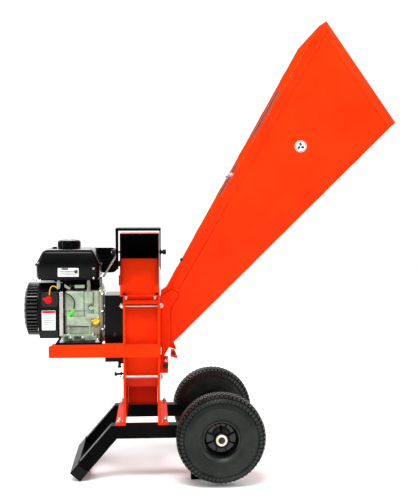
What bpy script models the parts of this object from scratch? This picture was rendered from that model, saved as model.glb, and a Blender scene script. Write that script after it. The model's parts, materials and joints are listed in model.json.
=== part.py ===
"""Portable wood chipper with a petrol engine, a disc rotor and a tall feed hopper.

Units are metres and +Z is up. The engine is on the -X side and the hopper's mouth is on the +X side.
The ground is Z = 0, and X = 0, Y = 0 is the middle of the whole machine's box.
"""

import math

import bmesh
import bpy
from mathutils import Matrix, Vector

GAP = 0.0003  # clearance between pieces that touch
SHEET = 0.002  # thickness of the hopper's and the rotor housing's sheet steel

# Frame of square tube
TUBE = 0.040
TUBE_WALL = 0.0025
RAIL_Y = 0.138
RAIL_Z = 0.1505
WHEEL_Z = 0.1440
RAIL_BEND_X = -0.284
RAIL_END_X = 0.101
LEG_ANGLE = math.radians(49)
REAR_FOOT_X = -0.029
CROSS_TUBE_X = 0.079

# Wheels
AXLE_X = 0.0386
AXLE_R = 0.0095
TYRE_R = 0.1345
TYRE_WIDTH = 0.085
RIM_R = 0.053
HUB_R = 0.0185
HUB_HALF = 0.0375
WHEEL_Y = 0.2105

# Rotor housing
HOUSING_X = -0.199
PLATE = 0.007
PLATE_OUT = 0.056  # from the housing's middle to a side plate's outer face
PLATE_IN = PLATE_OUT - PLATE
PLATE_HALF_Y = 0.158
PLATE_LOW = RAIL_Z + TUBE / 2 + GAP
PLATE_TOP = 0.568
PLATE_CORNER = 0.045  # cut off the far upper corner
FOOT_OUT = 0.024
WRAP_Y = 0.130
WRAP_BEND_Z = 0.327
WRAP_TOP = 0.5528
WRAP_LOW = 0.272
WRAP_LIP = 0.010
TIE_R = 0.004
TIE_NUT_R = 0.0085
TIE_END = 0.011  # how far a tie rod and its nut stand out of a side plate
TIE_Y = 0.146
TIE_Z = (0.319, 0.5365)
TIE_PLACES = ((-TIE_Y, TIE_Z[0]), (-TIE_Y, TIE_Z[1]), (TIE_Y, TIE_Z[1]))

# Rotor and belt drive
ROTOR_Z = 0.412
ROTOR_R = 0.118
SHAFT_R = 0.0125
SHAFT_ENDS = (-0.106, 0.0485)  # from the housing's middle
DISC = (0.018, 0.030)  # the disc's two faces, from the housing's middle
PADDLE_HALF = 0.003
PADDLE_ROOT_R = 0.050
KNIFE_R = (0.030, 0.108)
CRANK_Z = 0.514
ROTOR_PULLEY_R = 0.040
ENGINE_PULLEY_R = 0.034
PULLEY_X = HOUSING_X - 0.091
BELT_DEPTH = 0.007
GUARD_X = (HOUSING_X - 0.116, HOUSING_X - PLATE_OUT - GAP)
GUARD_HALF_Y = 0.062
GUARD_Z = (0.350, 0.5605)
GUARD_WALL = 0.002

# Feed hopper: the side profile's corners as X, Z
HOPPER_HALF_Y = 0.202  # at the mouth
HOPPER_TAPER = 0.135  # how fast each side comes in, per metre behind the mouth
THROAT_X = HOUSING_X + PLATE_OUT
THROAT_Z = (0.3475, 0.541)
THROAT_HALF_Y = 0.100
FLANGE = 0.0032
THROAT_TOP = Vector((THROAT_X + 0.004, THROAT_Z[1]))
THROAT_LOW = Vector((THROAT_X + 0.0068, 0.3565))
FLOOR_START = Vector((-0.111, 0.402))
MOUTH_TOP = Vector((0.3345, 1.378))
MOUTH_LOW = Vector((0.5488, 1.0754))
PANEL_FIT = 0.0014  # from a side panel's inner face to the ends of the top and the bottom
LIP = 0.029
LIP_ANGLE = math.radians(30)
SIDE_FLANGE = 0.027
SEAM_START = 0.060
SEAM_PROUD = 0.0015
SEAM_INSET = 0.0004
FEED_HALF_Y = 0.045
FEED_Z = (0.452, 0.528)
HOPPER_PIN = Vector((THROAT_X + 0.018, 0.338))
PIN_R = 0.004
PIN_HOLE_R = 0.0042
PIN_HALF = 0.066
LUG_OUT = 0.060  # from the middle to a lug's outer face
EAR_OUT = 0.0535  # from the middle to an ear's outer face
LUG_THICK = 0.006
FLAP_HANG = Vector((0.092, 0.905))
FLAP_LENGTH = 0.205
LUG_Z = (0.312, 0.347)
FLAP_HALF_Y = 0.105

# Discharge chute and its deflector hood
CHUTE_X = HOUSING_X - 0.0055
CHUTE_HALF_X = 0.05925
CHUTE_Y = (-0.158, -0.018)
CHUTE_TOP = 0.757
CHUTE_WINDOW_Z = 0.682
CHUTE_WALL = 0.0028
CHUTE_FLANGE_Y = (-0.174, -0.1472)
CHUTE_TAB_Z = 0.5553
HOOD_HALF_X = 0.0655
HOOD_X = -0.2063
HOOD_Y = (-0.2545, -0.115)
HOOD_Z = (0.655, 0.775)
HOOD_WALL = 0.0025
HOOD_PIVOT = Vector((-0.135, 0.700))
KNOB_R = 0.009
KNOB_LENGTH = 0.018

# Engine deck
DECK_X = -0.4784
DECK_Z = (0.381, 0.420)
DECK_FACE_Y = PLATE_HALF_Y + GAP
DECK_THICK = 0.004
MOUNT_PLATE_X = (-0.459, -0.319)

# Engine
ENGINE_BASE_Z = DECK_Z[1] + 0.0063
CASE_X = (-0.438, -0.327)
CASE_Y = (-0.095, 0.070)
CASE_TOP = 0.579
CYLINDER_LEAN = math.radians(25)
BARREL = (0.043, 0.052)  # half width and length
HEAD = (0.046, 0.040)
FLYWHEEL_R = 0.080
SHROUD_X = (-0.516, -0.4385)
SHROUD_HALF_Y = 0.104
SHROUD_Z = (0.4285, 0.6025)
SHROUD_CORNER = 0.028
SHROUD_WALL = 0.003
AIR_HOLE_R = 0.070
RECOIL_X = -0.566
RECOIL_R = 0.084
TANK_X = (-0.5245, -0.3238)
TANK_Y = (-0.118, 0.062)
TANK_Z = (0.6115, 0.6605, 0.7076)  # underside, seam and top
TANK_SLOPE = 0.022
FUEL_CAP = Vector((-0.427, -0.030))
FUEL_CAP_R = 0.036
FUEL_CAP_HEIGHT = 0.0265
AIR_CLEANER = ((-0.505, 0.078, 0.6135), (-0.400, 0.200, 0.702))
INTAKE = ((-0.470, 0.160, 0.5835), (-0.430, 0.185, 0.616))
CARBURETTOR = ((-0.475, 0.128, 0.528), (-0.4305, 0.204, 0.5825))
MUFFLER = ((-0.376, 0.074, 0.622), (-0.279, 0.182, 0.704))
SWITCH_CENTRE = Vector((-0.484, -0.1045, 0.552))
OIL_CAP_CENTRE = Vector((-0.341, -0.095, 0.480))
OIL_CAP_DIRECTION = Vector((0.0, -0.819, 0.574))
HANDLE_CENTRE = Vector((-0.546, 0.0870, 0.5595))
HANDLE_DIRECTION = Vector((0.0, 0.94, 0.342))
LEVER_PIVOT = Vector((-0.428, 0.205, 0.560))


def clear_scene():
    for item in list(bpy.data.objects):
        bpy.data.objects.remove(item, do_unlink=True)


def make_material(name, colour, roughness, metallic=0.0):
    made = bpy.data.materials.new(name)
    made.use_nodes = True
    shader = made.node_tree.nodes["Principled BSDF"]
    shader.inputs["Base Color"].default_value = (*colour, 1.0)
    shader.inputs["Roughness"].default_value = roughness
    shader.inputs["Metallic"].default_value = metallic
    return made


def make_materials():
    return {
        "orange": make_material("orange_paint", (0.90, 0.045, 0.004), 0.35),
        "black": make_material("black_paint", (0.012, 0.012, 0.014), 0.38),
        "rubber": make_material("tyre_rubber", (0.017, 0.022, 0.019), 0.75),
        "plastic": make_material("black_plastic", (0.012, 0.013, 0.013), 0.42),
        "steel": make_material("plated_steel", (0.62, 0.61, 0.57), 0.30, 1.0),
        "tool_steel": make_material("tool_steel", (0.42, 0.42, 0.43), 0.35, 1.0),
        "casting": make_material("aluminium_casting", (0.55, 0.58, 0.50), 0.50, 0.85),
        "red": make_material("red_plastic", (0.75, 0.02, 0.02), 0.40),
        "yellow": make_material("yellow_plastic", (0.85, 0.55, 0.03), 0.40),
        "cloth_rubber": make_material("flap_rubber", (0.02, 0.02, 0.02), 0.80),
    }


def smooth_round_faces(mesh):
    mesh.shade_smooth()
    mesh.set_sharp_from_angle(angle=math.radians(35))


def add_object(name, shape, material, origin=(0.0, 0.0, 0.0)):
    """A new object from a bmesh drawn in world coordinates, with its origin at the given point."""
    bmesh.ops.recalc_face_normals(shape, faces=shape.faces)
    mesh = bpy.data.meshes.new(name)
    shape.to_mesh(mesh)
    shape.free()
    mesh.transform(Matrix.Translation(-Vector(origin)))
    mesh.materials.append(material)
    smooth_round_faces(mesh)
    made = bpy.data.objects.new(name, mesh)
    made.location = origin
    bpy.context.collection.objects.link(made)
    bpy.context.view_layer.update()
    return made


def combine(target, tool, operation):
    """Joins the tool to the target, or cuts it out of it, and removes the tool."""
    step = target.modifiers.new(operation.lower(), "BOOLEAN")
    step.operation = operation
    step.solver = "EXACT"
    step.object = tool
    evaluated = target.evaluated_get(bpy.context.evaluated_depsgraph_get())
    mesh = bpy.data.meshes.new_from_object(evaluated)
    target.modifiers.clear()
    target.data = mesh
    smooth_round_faces(mesh)
    bpy.data.objects.remove(tool, do_unlink=True)
    bpy.context.view_layer.update()
    return target


def join(target, *tools):
    for tool in tools:
        combine(target, tool, "UNION")
    return target


def cut(target, *tools):
    for tool in tools:
        combine(target, tool, "DIFFERENCE")
    return target


def box_shape(low, high):
    shape = bmesh.new()
    size = [top - bottom for bottom, top in zip(low, high)]
    middle = [(top + bottom) / 2 for bottom, top in zip(low, high)]
    place = Matrix.Translation(middle) @ Matrix.Diagonal((*size, 1.0))
    bmesh.ops.create_cube(shape, size=1.0, matrix=place)
    return shape


def add_box(name, low, high, material, bevel=0.0, origin=(0.0, 0.0, 0.0)):
    shape = box_shape(low, high)
    if bevel:
        bmesh.ops.bevel(shape, geom=shape.edges[:], offset=bevel, segments=2, affect="EDGES", profile=0.5)
    return add_object(name, shape, material, origin)


def extrude_outline(outline, axis, low, high):
    """A prism: the outline lies in the plane across the axis, and its points go along in X, Y, Z order."""
    shape = bmesh.new()

    def place(first, second, along):
        if axis == "X":
            return (along, first, second)
        if axis == "Y":
            return (first, along, second)
        return (first, second, along)

    near = [shape.verts.new(place(a, b, low)) for a, b in outline]
    far = [shape.verts.new(place(a, b, high)) for a, b in outline]
    count = len(outline)
    for i in range(count):
        j = (i + 1) % count
        shape.faces.new((near[i], near[j], far[j], far[i]))
    shape.faces.new(near)
    shape.faces.new(far)
    return shape


def sheet_outline(path, thickness, side=1):
    """The outline of a bent sheet whose outer skin runs along the path. Side picks which way it is thick."""
    points = [Vector(point) for point in path]
    inner = []
    for i, point in enumerate(points):
        before = (point - points[i - 1]).normalized() if i else None
        after = (points[i + 1] - point).normalized() if i + 1 < len(points) else None
        first = before or after
        second = after or before
        normal = Vector((-first.y - second.y, first.x + second.x)).normalized() * side
        square = Vector((-first.y, first.x)) * side
        inner.append(point + normal * (thickness / normal.dot(square)))
    return points + inner[::-1]


def turned(profile, axis, centre, steps, closed=True):
    """A turned solid. The profile's points are (along, radius); an open one starts and ends on the axis."""
    shape = bmesh.new()
    centre = Vector(centre)
    axis = Vector(axis).normalized()
    across = axis.orthogonal().normalized()
    other = axis.cross(across)
    rings = []
    for along, radius in profile:
        middle = centre + axis * along
        if radius < 1e-7:
            rings.append([shape.verts.new(middle)])
            continue
        ring = []
        for k in range(steps):
            turn = 2 * math.pi * k / steps
            ring.append(shape.verts.new(middle + (across * math.cos(turn) + other * math.sin(turn)) * radius))
        rings.append(ring)
    pairs = list(zip(rings, rings[1:]))
    if closed:
        pairs.append((rings[-1], rings[0]))
    for first, second in pairs:
        for k in range(steps):
            n = (k + 1) % steps
            corners = [first[k % len(first)], first[n % len(first)]]
            corners += [second[n % len(second)], second[k % len(second)]]
            distinct = []
            for corner in corners:
                if corner not in distinct:
                    distinct.append(corner)
            shape.faces.new(distinct)
    return shape


def rod_shape(start, end, radius, steps=12):
    start = Vector(start)
    length = (Vector(end) - start).length
    profile = ((0, 0), (0, radius), (length, radius), (length, 0))
    return turned(profile, Vector(end) - start, start, steps, closed=False)


def add_rod(name, start, end, radius, material, steps=12):
    return add_object(name, rod_shape(start, end, radius, steps), material)


def square_tube(name, start, end, material, start_cut=None, end_cut=None):
    """A hollow square tube in the XZ or YZ plane, open at both ends, which cutting planes may mitre."""
    start = Vector(start)
    end = Vector(end)
    along = (end - start).normalized()
    side = Vector((0, 1, 0)) if abs(along.y) < 0.5 else Vector((1, 0, 0))
    up = along.cross(side).normalized()
    shape = bmesh.new()
    ends = []
    for point, normal in ((start, start_cut or along), (end, end_cut or along)):
        loops = []
        for half in (TUBE / 2, TUBE / 2 - TUBE_WALL):
            loop = []
            for a, b in ((-1, -1), (1, -1), (1, 1), (-1, 1)):
                corner = point + side * (a * half) + up * (b * half)
                slide = (point - corner).dot(normal) / along.dot(normal)
                loop.append(shape.verts.new(corner + along * slide))
            loops.append(loop)
        ends.append(loops)
    for k in range(4):
        n = (k + 1) % 4
        for layer in (0, 1):
            a, b = ends[0][layer], ends[1][layer]
            shape.faces.new((a[k], a[n], b[n], b[k]))
        for outer, inner in ends:
            shape.faces.new((outer[k], outer[n], inner[n], inner[k]))
    return add_object(name, shape, material)


def build_frame(mats):
    along_leg = Vector((-math.cos(LEG_ANGLE), 0, -math.sin(LEG_ANGLE)))
    mitre = (Vector((-1, 0, 0)) + along_leg).normalized()
    bar_z = TUBE / 2 * (math.sin(LEG_ANGLE) + math.cos(LEG_ANGLE))
    bend = Vector((RAIL_BEND_X, 0, RAIL_Z))
    leg_run = (RAIL_Z - bar_z) / math.sin(LEG_ANGLE)
    bar_middle = bend + along_leg * leg_run
    for side, sign in (("near", -1), ("far", 1)):
        offset = Vector((0, sign * RAIL_Y, 0))
        rail_end = Vector((RAIL_END_X, sign * RAIL_Y, RAIL_Z))
        rail_start = bend + offset - mitre * (GAP / 2)
        rail = square_tube(f"{side}_frame_rail", rail_end, rail_start, mats["black"], end_cut=mitre)
        axle_hole = add_rod(
            "axle_hole",
            (AXLE_X, sign * (RAIL_Y - TUBE), WHEEL_Z),
            (AXLE_X, sign * (RAIL_Y + TUBE), WHEEL_Z),
            AXLE_R + 0.0001,
            mats["black"],
            24,
        )
        cut(rail, axle_hole)
        leg_start = bend + offset + mitre * (GAP / 2)
        leg_end = bend + offset + along_leg * (leg_run - TUBE / 2 - GAP)
        square_tube(f"{side}_leg", leg_start, leg_end, mats["black"], start_cut=mitre)
        foot_top = RAIL_Z - TUBE / 2 - GAP
        square_tube(
            f"{side}_rear_foot",
            (REAR_FOOT_X, sign * RAIL_Y, foot_top),
            (REAR_FOOT_X, sign * RAIL_Y, 0),
            mats["black"],
        )
    half = RAIL_Y + TUBE / 2
    bar = extrude_outline(bar_outline(bar_middle, along_leg, TUBE / 2), "Y", -half, half)
    inner_outline = bar_outline(bar_middle, along_leg, TUBE / 2 - TUBE_WALL)
    hollow = extrude_outline(inner_outline, "Y", -half - 0.01, half + 0.01)
    crossbar = add_object("leg_crossbar", bar, mats["black"])
    cut(crossbar, add_object("hollow", hollow, mats["black"]))
    inner = RAIL_Y - TUBE / 2 - GAP
    square_tube("rear_cross_tube", (CROSS_TUBE_X, -inner, RAIL_Z), (CROSS_TUBE_X, inner, RAIL_Z), mats["black"])


def bar_outline(middle, along, half):
    """The square section of the bar between the leg ends, turned to the legs' angle."""
    up = Vector((along.z, 0, -along.x))
    corners = ((-1, -1), (1, -1), (1, 1), (-1, 1))
    points = [middle + along * (a * half) + up * (b * half) for a, b in corners]
    return [(point.x, point.z) for point in points]


def tyre_profile():
    """Section of the tyre: a bead, two bulged side walls and a flat tread, as (along the axle, radius)."""
    half = TYRE_WIDTH / 2
    bead = RIM_R + GAP
    middle = (bead + TYRE_R) / 2
    tread_half = half * 0.78
    side = []
    for k in range(5):
        turn = math.radians(-70 + 35 * k)
        side.append((half * (0.76 + 0.24 * math.cos(turn)), middle + (TYRE_R - bead) * 0.42 * math.sin(turn)))
    right = [(half * 0.62, bead)] + side + [(tread_half, TYRE_R - 0.002), (tread_half * 0.7, TYRE_R)]
    left = [(-along, radius) for along, radius in right[::-1]]
    return right + left


def rim_profile(sign):
    """Section of the wheel rim: a hub tube, a ribbed disc set inwards, and a barrel with a raised edge."""
    barrel = RIM_R - 0.006
    half = TYRE_WIDTH / 2 * 0.62
    web = ((0.004 * sign - 0.004), (0.004 * sign + 0.004))
    return [
        (-HUB_HALF, AXLE_R + 0.0001),
        (HUB_HALF, AXLE_R + 0.0001),
        (HUB_HALF, HUB_R),
        (web[1], HUB_R),
        (web[1], barrel),
        (half, barrel),
        (half, RIM_R),
        (-half, RIM_R),
        (-half, barrel),
        (web[0], barrel),
        (web[0], HUB_R),
        (-HUB_HALF, HUB_R),
    ]


def build_wheels(mats):
    for side, sign in (("near", -1), ("far", 1)):
        centre = (AXLE_X, sign * WHEEL_Y, WHEEL_Z)
        tyre = turned(tyre_profile(), (0, 1, 0), centre, 32)
        add_object(f"{side}_tyre", tyre, mats["rubber"], centre)
        rim = turned(rim_profile(sign), (0, 1, 0), centre, 32)
        add_object(f"{side}_rim", rim, mats["plastic"], centre)
    end = WHEEL_Y + HUB_HALF - 0.001
    profile = [(-end, 0), (-end, AXLE_R), (end, AXLE_R), (end, 0)]
    add_object("axle", turned(profile, (0, 1, 0), (AXLE_X, 0, WHEEL_Z), 24, closed=False), mats["steel"])


def side_plate(name, sign, mats):
    """One side plate of the rotor housing with its outward foot."""
    inner = HOUSING_X + sign * PLATE_IN
    outer = HOUSING_X + sign * PLATE_OUT
    half = PLATE_HALF_Y
    outline = [
        (-half, PLATE_LOW),
        (half, PLATE_LOW),
        (half, PLATE_TOP - PLATE_CORNER),
        (half - PLATE_CORNER, PLATE_TOP),
        (-half, PLATE_TOP),
    ]
    plate = add_object(name, extrude_outline(outline, "X", min(inner, outer), max(inner, outer)), mats["orange"])
    foot_end = outer + sign * FOOT_OUT
    low = (min(inner, foot_end), -half, PLATE_LOW)
    high = (max(inner, foot_end), half, PLATE_LOW + PLATE)
    join(plate, add_box("foot", low, high, mats["orange"]))
    reach = (HOUSING_X + sign * (PLATE_IN - 0.01), HOUSING_X + sign * (PLATE_OUT + 0.01))
    for y, z in TIE_PLACES:
        cut(plate, add_rod("hole", (reach[0], y, z), (reach[1], y, z), TIE_R + 0.0002, mats["orange"], 16))
    return plate


def hinge_rod(name, reach, radius, material):
    """A round bar along the hopper's hinge, which reaches as far to both sides of the middle."""
    start = (HOPPER_PIN.x, -reach, HOPPER_PIN.y)
    end = (HOPPER_PIN.x, reach, HOPPER_PIN.y)
    return add_rod(name, start, end, radius, material, 16)


def build_housing(mats):
    left = side_plate("left_housing_plate", -1, mats)
    shaft_hole = ((HOUSING_X - 0.08, 0, ROTOR_Z), (HOUSING_X - 0.03, 0, ROTOR_Z))
    cut(left, add_rod("hole", *shaft_hole, SHAFT_R + 0.004, mats["orange"], 20))
    right = side_plate("right_housing_plate", 1, mats)
    low = (HOUSING_X + PLATE_IN - 0.02, -FEED_HALF_Y, FEED_Z[0])
    high = (HOUSING_X + PLATE_OUT + 0.02, FEED_HALF_Y, FEED_Z[1])
    cut(right, add_box("feed_opening", low, high, mats["orange"]))
    lug = extrude_outline(
        [
            (HOUSING_X + PLATE_OUT - 0.002, LUG_Z[1]),
            (HOUSING_X + PLATE_OUT - 0.002, LUG_Z[0]),
            (HOPPER_PIN.x + 0.008, LUG_Z[0]),
            (HOPPER_PIN.x + 0.010, LUG_Z[1]),
        ],
        "Y",
        -LUG_OUT,
        -LUG_OUT + LUG_THICK,
    )
    for shift in (0.0, 2 * LUG_OUT - LUG_THICK):
        copy = lug.copy()
        bmesh.ops.translate(copy, verts=copy.verts, vec=(0, shift, 0))
        join(right, add_object("lug", copy, mats["orange"]))
    lug.free()
    cut(right, hinge_rod("hole", 0.08, PIN_HOLE_R, mats["orange"]))

    inside = PLATE_IN - GAP
    low_x = HOUSING_X - inside
    high_x = HOUSING_X + inside
    lip_y = -PLATE_HALF_Y + SHEET
    near_path = [
        (lip_y, WRAP_TOP - WRAP_LIP),
        (lip_y, WRAP_TOP),
        (-WRAP_Y, WRAP_TOP),
        (-WRAP_Y, WRAP_BEND_Z),
        (-WRAP_Y / 2, WRAP_LOW),
        (WRAP_Y - SHEET - GAP, WRAP_LOW),
    ]
    outline = sheet_outline(near_path, SHEET, 1)
    add_object("near_wrapper", extrude_outline(outline, "X", low_x, high_x), mats["orange"])
    far_path = [
        (WRAP_Y, PLATE_LOW),
        (WRAP_Y, PLATE_TOP - 0.039),
        (WRAP_Y - 0.036, PLATE_TOP - 0.003),
        (CHUTE_Y[1] + GAP, PLATE_TOP - 0.003),
    ]
    outline = sheet_outline(far_path, SHEET, 1)
    add_object("far_wrapper", extrude_outline(outline, "X", low_x, high_x), mats["orange"])

    reach = PLATE_OUT + TIE_END
    nut = PLATE_OUT + GAP
    for name, (y, z) in zip(("near_lower", "near_upper", "far_upper"), TIE_PLACES):
        profile = [(-reach, 0), (-reach, TIE_NUT_R), (-nut, TIE_NUT_R), (-nut, TIE_R)]
        profile += [(-along, radius) for along, radius in profile[::-1]]
        rod = turned(profile, (1, 0, 0), (HOUSING_X, y, z), 12, closed=False)
        add_object(f"{name}_tie_rod", rod, mats["steel"])


def build_rotor(mats):
    axis_point = Vector((HOUSING_X, 0, ROTOR_Z))
    bore = SHAFT_R + 0.0001
    disc = turned(
        [(DISC[0], bore), (DISC[0], ROTOR_R), (DISC[1], ROTOR_R), (DISC[1], bore)],
        (1, 0, 0),
        axis_point,
        48,
    )
    rotor = add_object("rotor_disc", disc, mats["tool_steel"], axis_point)
    for k in range(4):
        low = (-0.034, PADDLE_ROOT_R, -PADDLE_HALF)
        high = (DISC[0] + 0.001, ROTOR_R - 0.003, PADDLE_HALF)
        paddle = box_shape(low, high)
        turn = Matrix.Translation(axis_point) @ Matrix.Rotation(math.radians(45 + 90 * k), 4, "X")
        bmesh.ops.transform(paddle, matrix=turn, verts=paddle.verts)
        join(rotor, add_object("paddle", paddle, mats["tool_steel"]))
    for k, name in enumerate(("first_chipper_knife", "second_chipper_knife")):
        back = DISC[1] + GAP
        face = back + 0.007
        outline = [(back, -0.014), (back, 0.020), (face, 0.020), (face, -0.006)]
        knife = extrude_outline(outline, "Z", *KNIFE_R)
        turn = Matrix.Translation(axis_point) @ Matrix.Rotation(math.radians(180 * k), 4, "X")
        bmesh.ops.transform(knife, matrix=turn, verts=knife.verts)
        add_object(name, knife, mats["tool_steel"], axis_point)
    start, end = SHAFT_ENDS
    profile = [(start, 0), (start, SHAFT_R), (end, SHAFT_R), (end, 0)]
    shaft = turned(profile, (1, 0, 0), axis_point, 24, closed=False)
    add_object("rotor_shaft", shaft, mats["tool_steel"], axis_point)
    bearings = (
        ("left_bearing", -PLATE_OUT - GAP, -PLATE_OUT - 0.0165),
        ("right_bearing", PLATE_IN - GAP, PLATE_IN - 0.0115),
    )
    for name, seat, nose in bearings:
        flange = seat + (nose - seat) * 0.4
        profile = [(seat, bore), (seat, 0.031), (flange, 0.031), (flange, 0.024), (nose, 0.021), (nose, bore)]
        add_object(name, turned(profile, (1, 0, 0), axis_point, 24), mats["casting"])
    low = (HOUSING_X + 0.040, -FEED_HALF_Y + 0.002, FEED_Z[0] - 0.002)
    high = (HOUSING_X + PLATE_IN - GAP, FEED_HALF_Y - 0.002, FEED_Z[0] + 0.009)
    add_box("anvil_knife", low, high, mats["tool_steel"])


def pulley_profile(radius, bore):
    """Section of a single-groove pulley about its middle plane."""
    half = 0.012
    groove = radius - BELT_DEPTH - 0.001
    return [
        (-half, bore),
        (-half, radius),
        (-0.0068, radius),
        (-0.0058, groove),
        (0.0058, groove),
        (0.0068, radius),
        (half, radius),
        (half, bore),
    ]


def belt_loop(low_r, high_r, steps=14):
    """The belt's loop in the YZ plane: two arcs about the pulleys, joined by their outer tangents."""
    distance = CRANK_Z - ROTOR_Z
    lean = math.asin((low_r - high_r) / distance)
    points = []
    for k in range(steps + 1):
        turn = lean + (math.pi - 2 * lean) * k / steps
        points.append((high_r * math.cos(turn), CRANK_Z + high_r * math.sin(turn)))
    for k in range(steps + 1):
        turn = math.pi - lean + (math.pi + 2 * lean) * k / steps
        points.append((low_r * math.cos(turn), ROTOR_Z + low_r * math.sin(turn)))
    return points


def build_drive(mats):
    bore = SHAFT_R + 0.0001
    pulleys = (
        ("rotor_pulley", ROTOR_PULLEY_R, ROTOR_Z),
        ("engine_pulley", ENGINE_PULLEY_R, CRANK_Z),
    )
    for name, radius, z in pulleys:
        centre = (PULLEY_X, 0, z)
        pulley = turned(pulley_profile(radius, bore), (1, 0, 0), centre, 28)
        add_object(name, pulley, mats["tool_steel"], centre)
    depth = BELT_DEPTH - 0.0004
    inside = belt_loop(ROTOR_PULLEY_R - depth, ENGINE_PULLEY_R - depth)
    outside = belt_loop(ROTOR_PULLEY_R + 0.001, ENGINE_PULLEY_R + 0.001)
    shape = bmesh.new()
    half = 0.005
    rings = []
    for loop, x in ((outside, -half), (outside, half), (inside, half), (inside, -half)):
        rings.append([shape.verts.new((PULLEY_X + x, y, z)) for y, z in loop])
    count = len(outside)
    for first, second in zip(rings, rings[1:] + rings[:1]):
        for k in range(count):
            n = (k + 1) % count
            shape.faces.new((first[k], first[n], second[n], second[k]))
    add_object("drive_belt", shape, mats["cloth_rubber"])

    low = (GUARD_X[0], -GUARD_HALF_Y, GUARD_Z[0])
    high = (GUARD_X[1], GUARD_HALF_Y, GUARD_Z[1])
    guard = add_box("belt_guard", low, high, mats["black"])
    low = (low[0] + GUARD_WALL, low[1] + GUARD_WALL, low[2] + GUARD_WALL)
    high = (high[0] + 0.01, high[1] - GUARD_WALL, high[2] - GUARD_WALL)
    cut(guard, add_box("inside", low, high, mats["black"]))
    crank_hole = ((GUARD_X[0] - 0.01, 0, CRANK_Z), (GUARD_X[0] + 0.01, 0, CRANK_Z))
    cut(guard, add_rod("hole", *crank_hole, SHAFT_R + 0.006, mats["black"], 24))


def side_outline():
    """The hopper's side panel in X, Z, from the throat round by the floor to the mouth."""
    return [THROAT_TOP, THROAT_LOW, FLOOR_START, MOUTH_LOW, MOUTH_TOP]


def mouth_forward():
    """The direction square to the mouth's edge, out of the hopper, in X, Z."""
    edge = (MOUTH_TOP - MOUTH_LOW).normalized()
    return Vector((edge.y, -edge.x))


def half_width(point):
    """Half the hopper's outer width in Y at a point of its X, Z profile."""
    return HOPPER_HALF_Y - HOPPER_TAPER * max(0.0, (MOUTH_TOP - Vector(point)).dot(mouth_forward()))


def taper(shape, sign):
    """Leans a side panel's pieces inwards, so that the hopper narrows towards the throat."""
    for vert in shape.verts:
        depth = (MOUTH_TOP - Vector((vert.co.x, vert.co.z))).dot(mouth_forward())
        vert.co.y -= sign * HOPPER_TAPER * depth
    return shape


def side_lip(sign):
    """The side panel's edge strip beyond the mouth, bent towards the middle."""
    forward = mouth_forward()
    inwards = -sign
    back = 0.004
    edge = (MOUTH_TOP - MOUTH_LOW).normalized() * 0.001
    ahead = Vector((forward.x, 0, forward.y))
    across = Vector((0, inwards, 0))
    run = ahead * math.cos(LIP_ANGLE) + across * math.sin(LIP_ANGLE)
    thick = across * math.cos(LIP_ANGLE) - ahead * math.sin(LIP_ANGLE)
    shape = bmesh.new()
    corners = []
    for end in (MOUTH_LOW + edge, MOUTH_TOP - edge):
        start = Vector((end.x, sign * (HOPPER_HALF_Y - GAP), end.y)) - run * back
        tip = start + run * (LIP + back)
        quad = (start, tip, tip + thick * SHEET, start + thick * SHEET)
        corners.append([shape.verts.new(point) for point in quad])
    for k in range(4):
        n = (k + 1) % 4
        shape.faces.new((corners[0][k], corners[0][n], corners[1][n], corners[1][k]))
    shape.faces.new(corners[0])
    shape.faces.new(corners[1])
    return shape


def seam_outline(slope):
    """The doubled strip along a side panel's upper edge, in X, Z."""
    across = Vector((slope.y, -slope.x))
    start = THROAT_TOP + slope * SEAM_START + across * SEAM_INSET
    end = MOUTH_TOP - slope * SEAM_INSET * 4 + across * SEAM_INSET
    corners = [start, end, end + across * SIDE_FLANGE, start + across * SIDE_FLANGE]
    return [(point.x, point.y) for point in corners]


def cross_panel(name, path, side, mats):
    """A panel that runs from side to side, whose outer skin follows the path in X, Z."""
    shape = extrude_outline(sheet_outline(path, SHEET, side), "Y", -1, 1)
    for vert in shape.verts:
        vert.co.y *= half_width((vert.co.x, vert.co.z)) - SHEET - PANEL_FIT
    return add_object(name, shape, mats["orange"])


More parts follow.
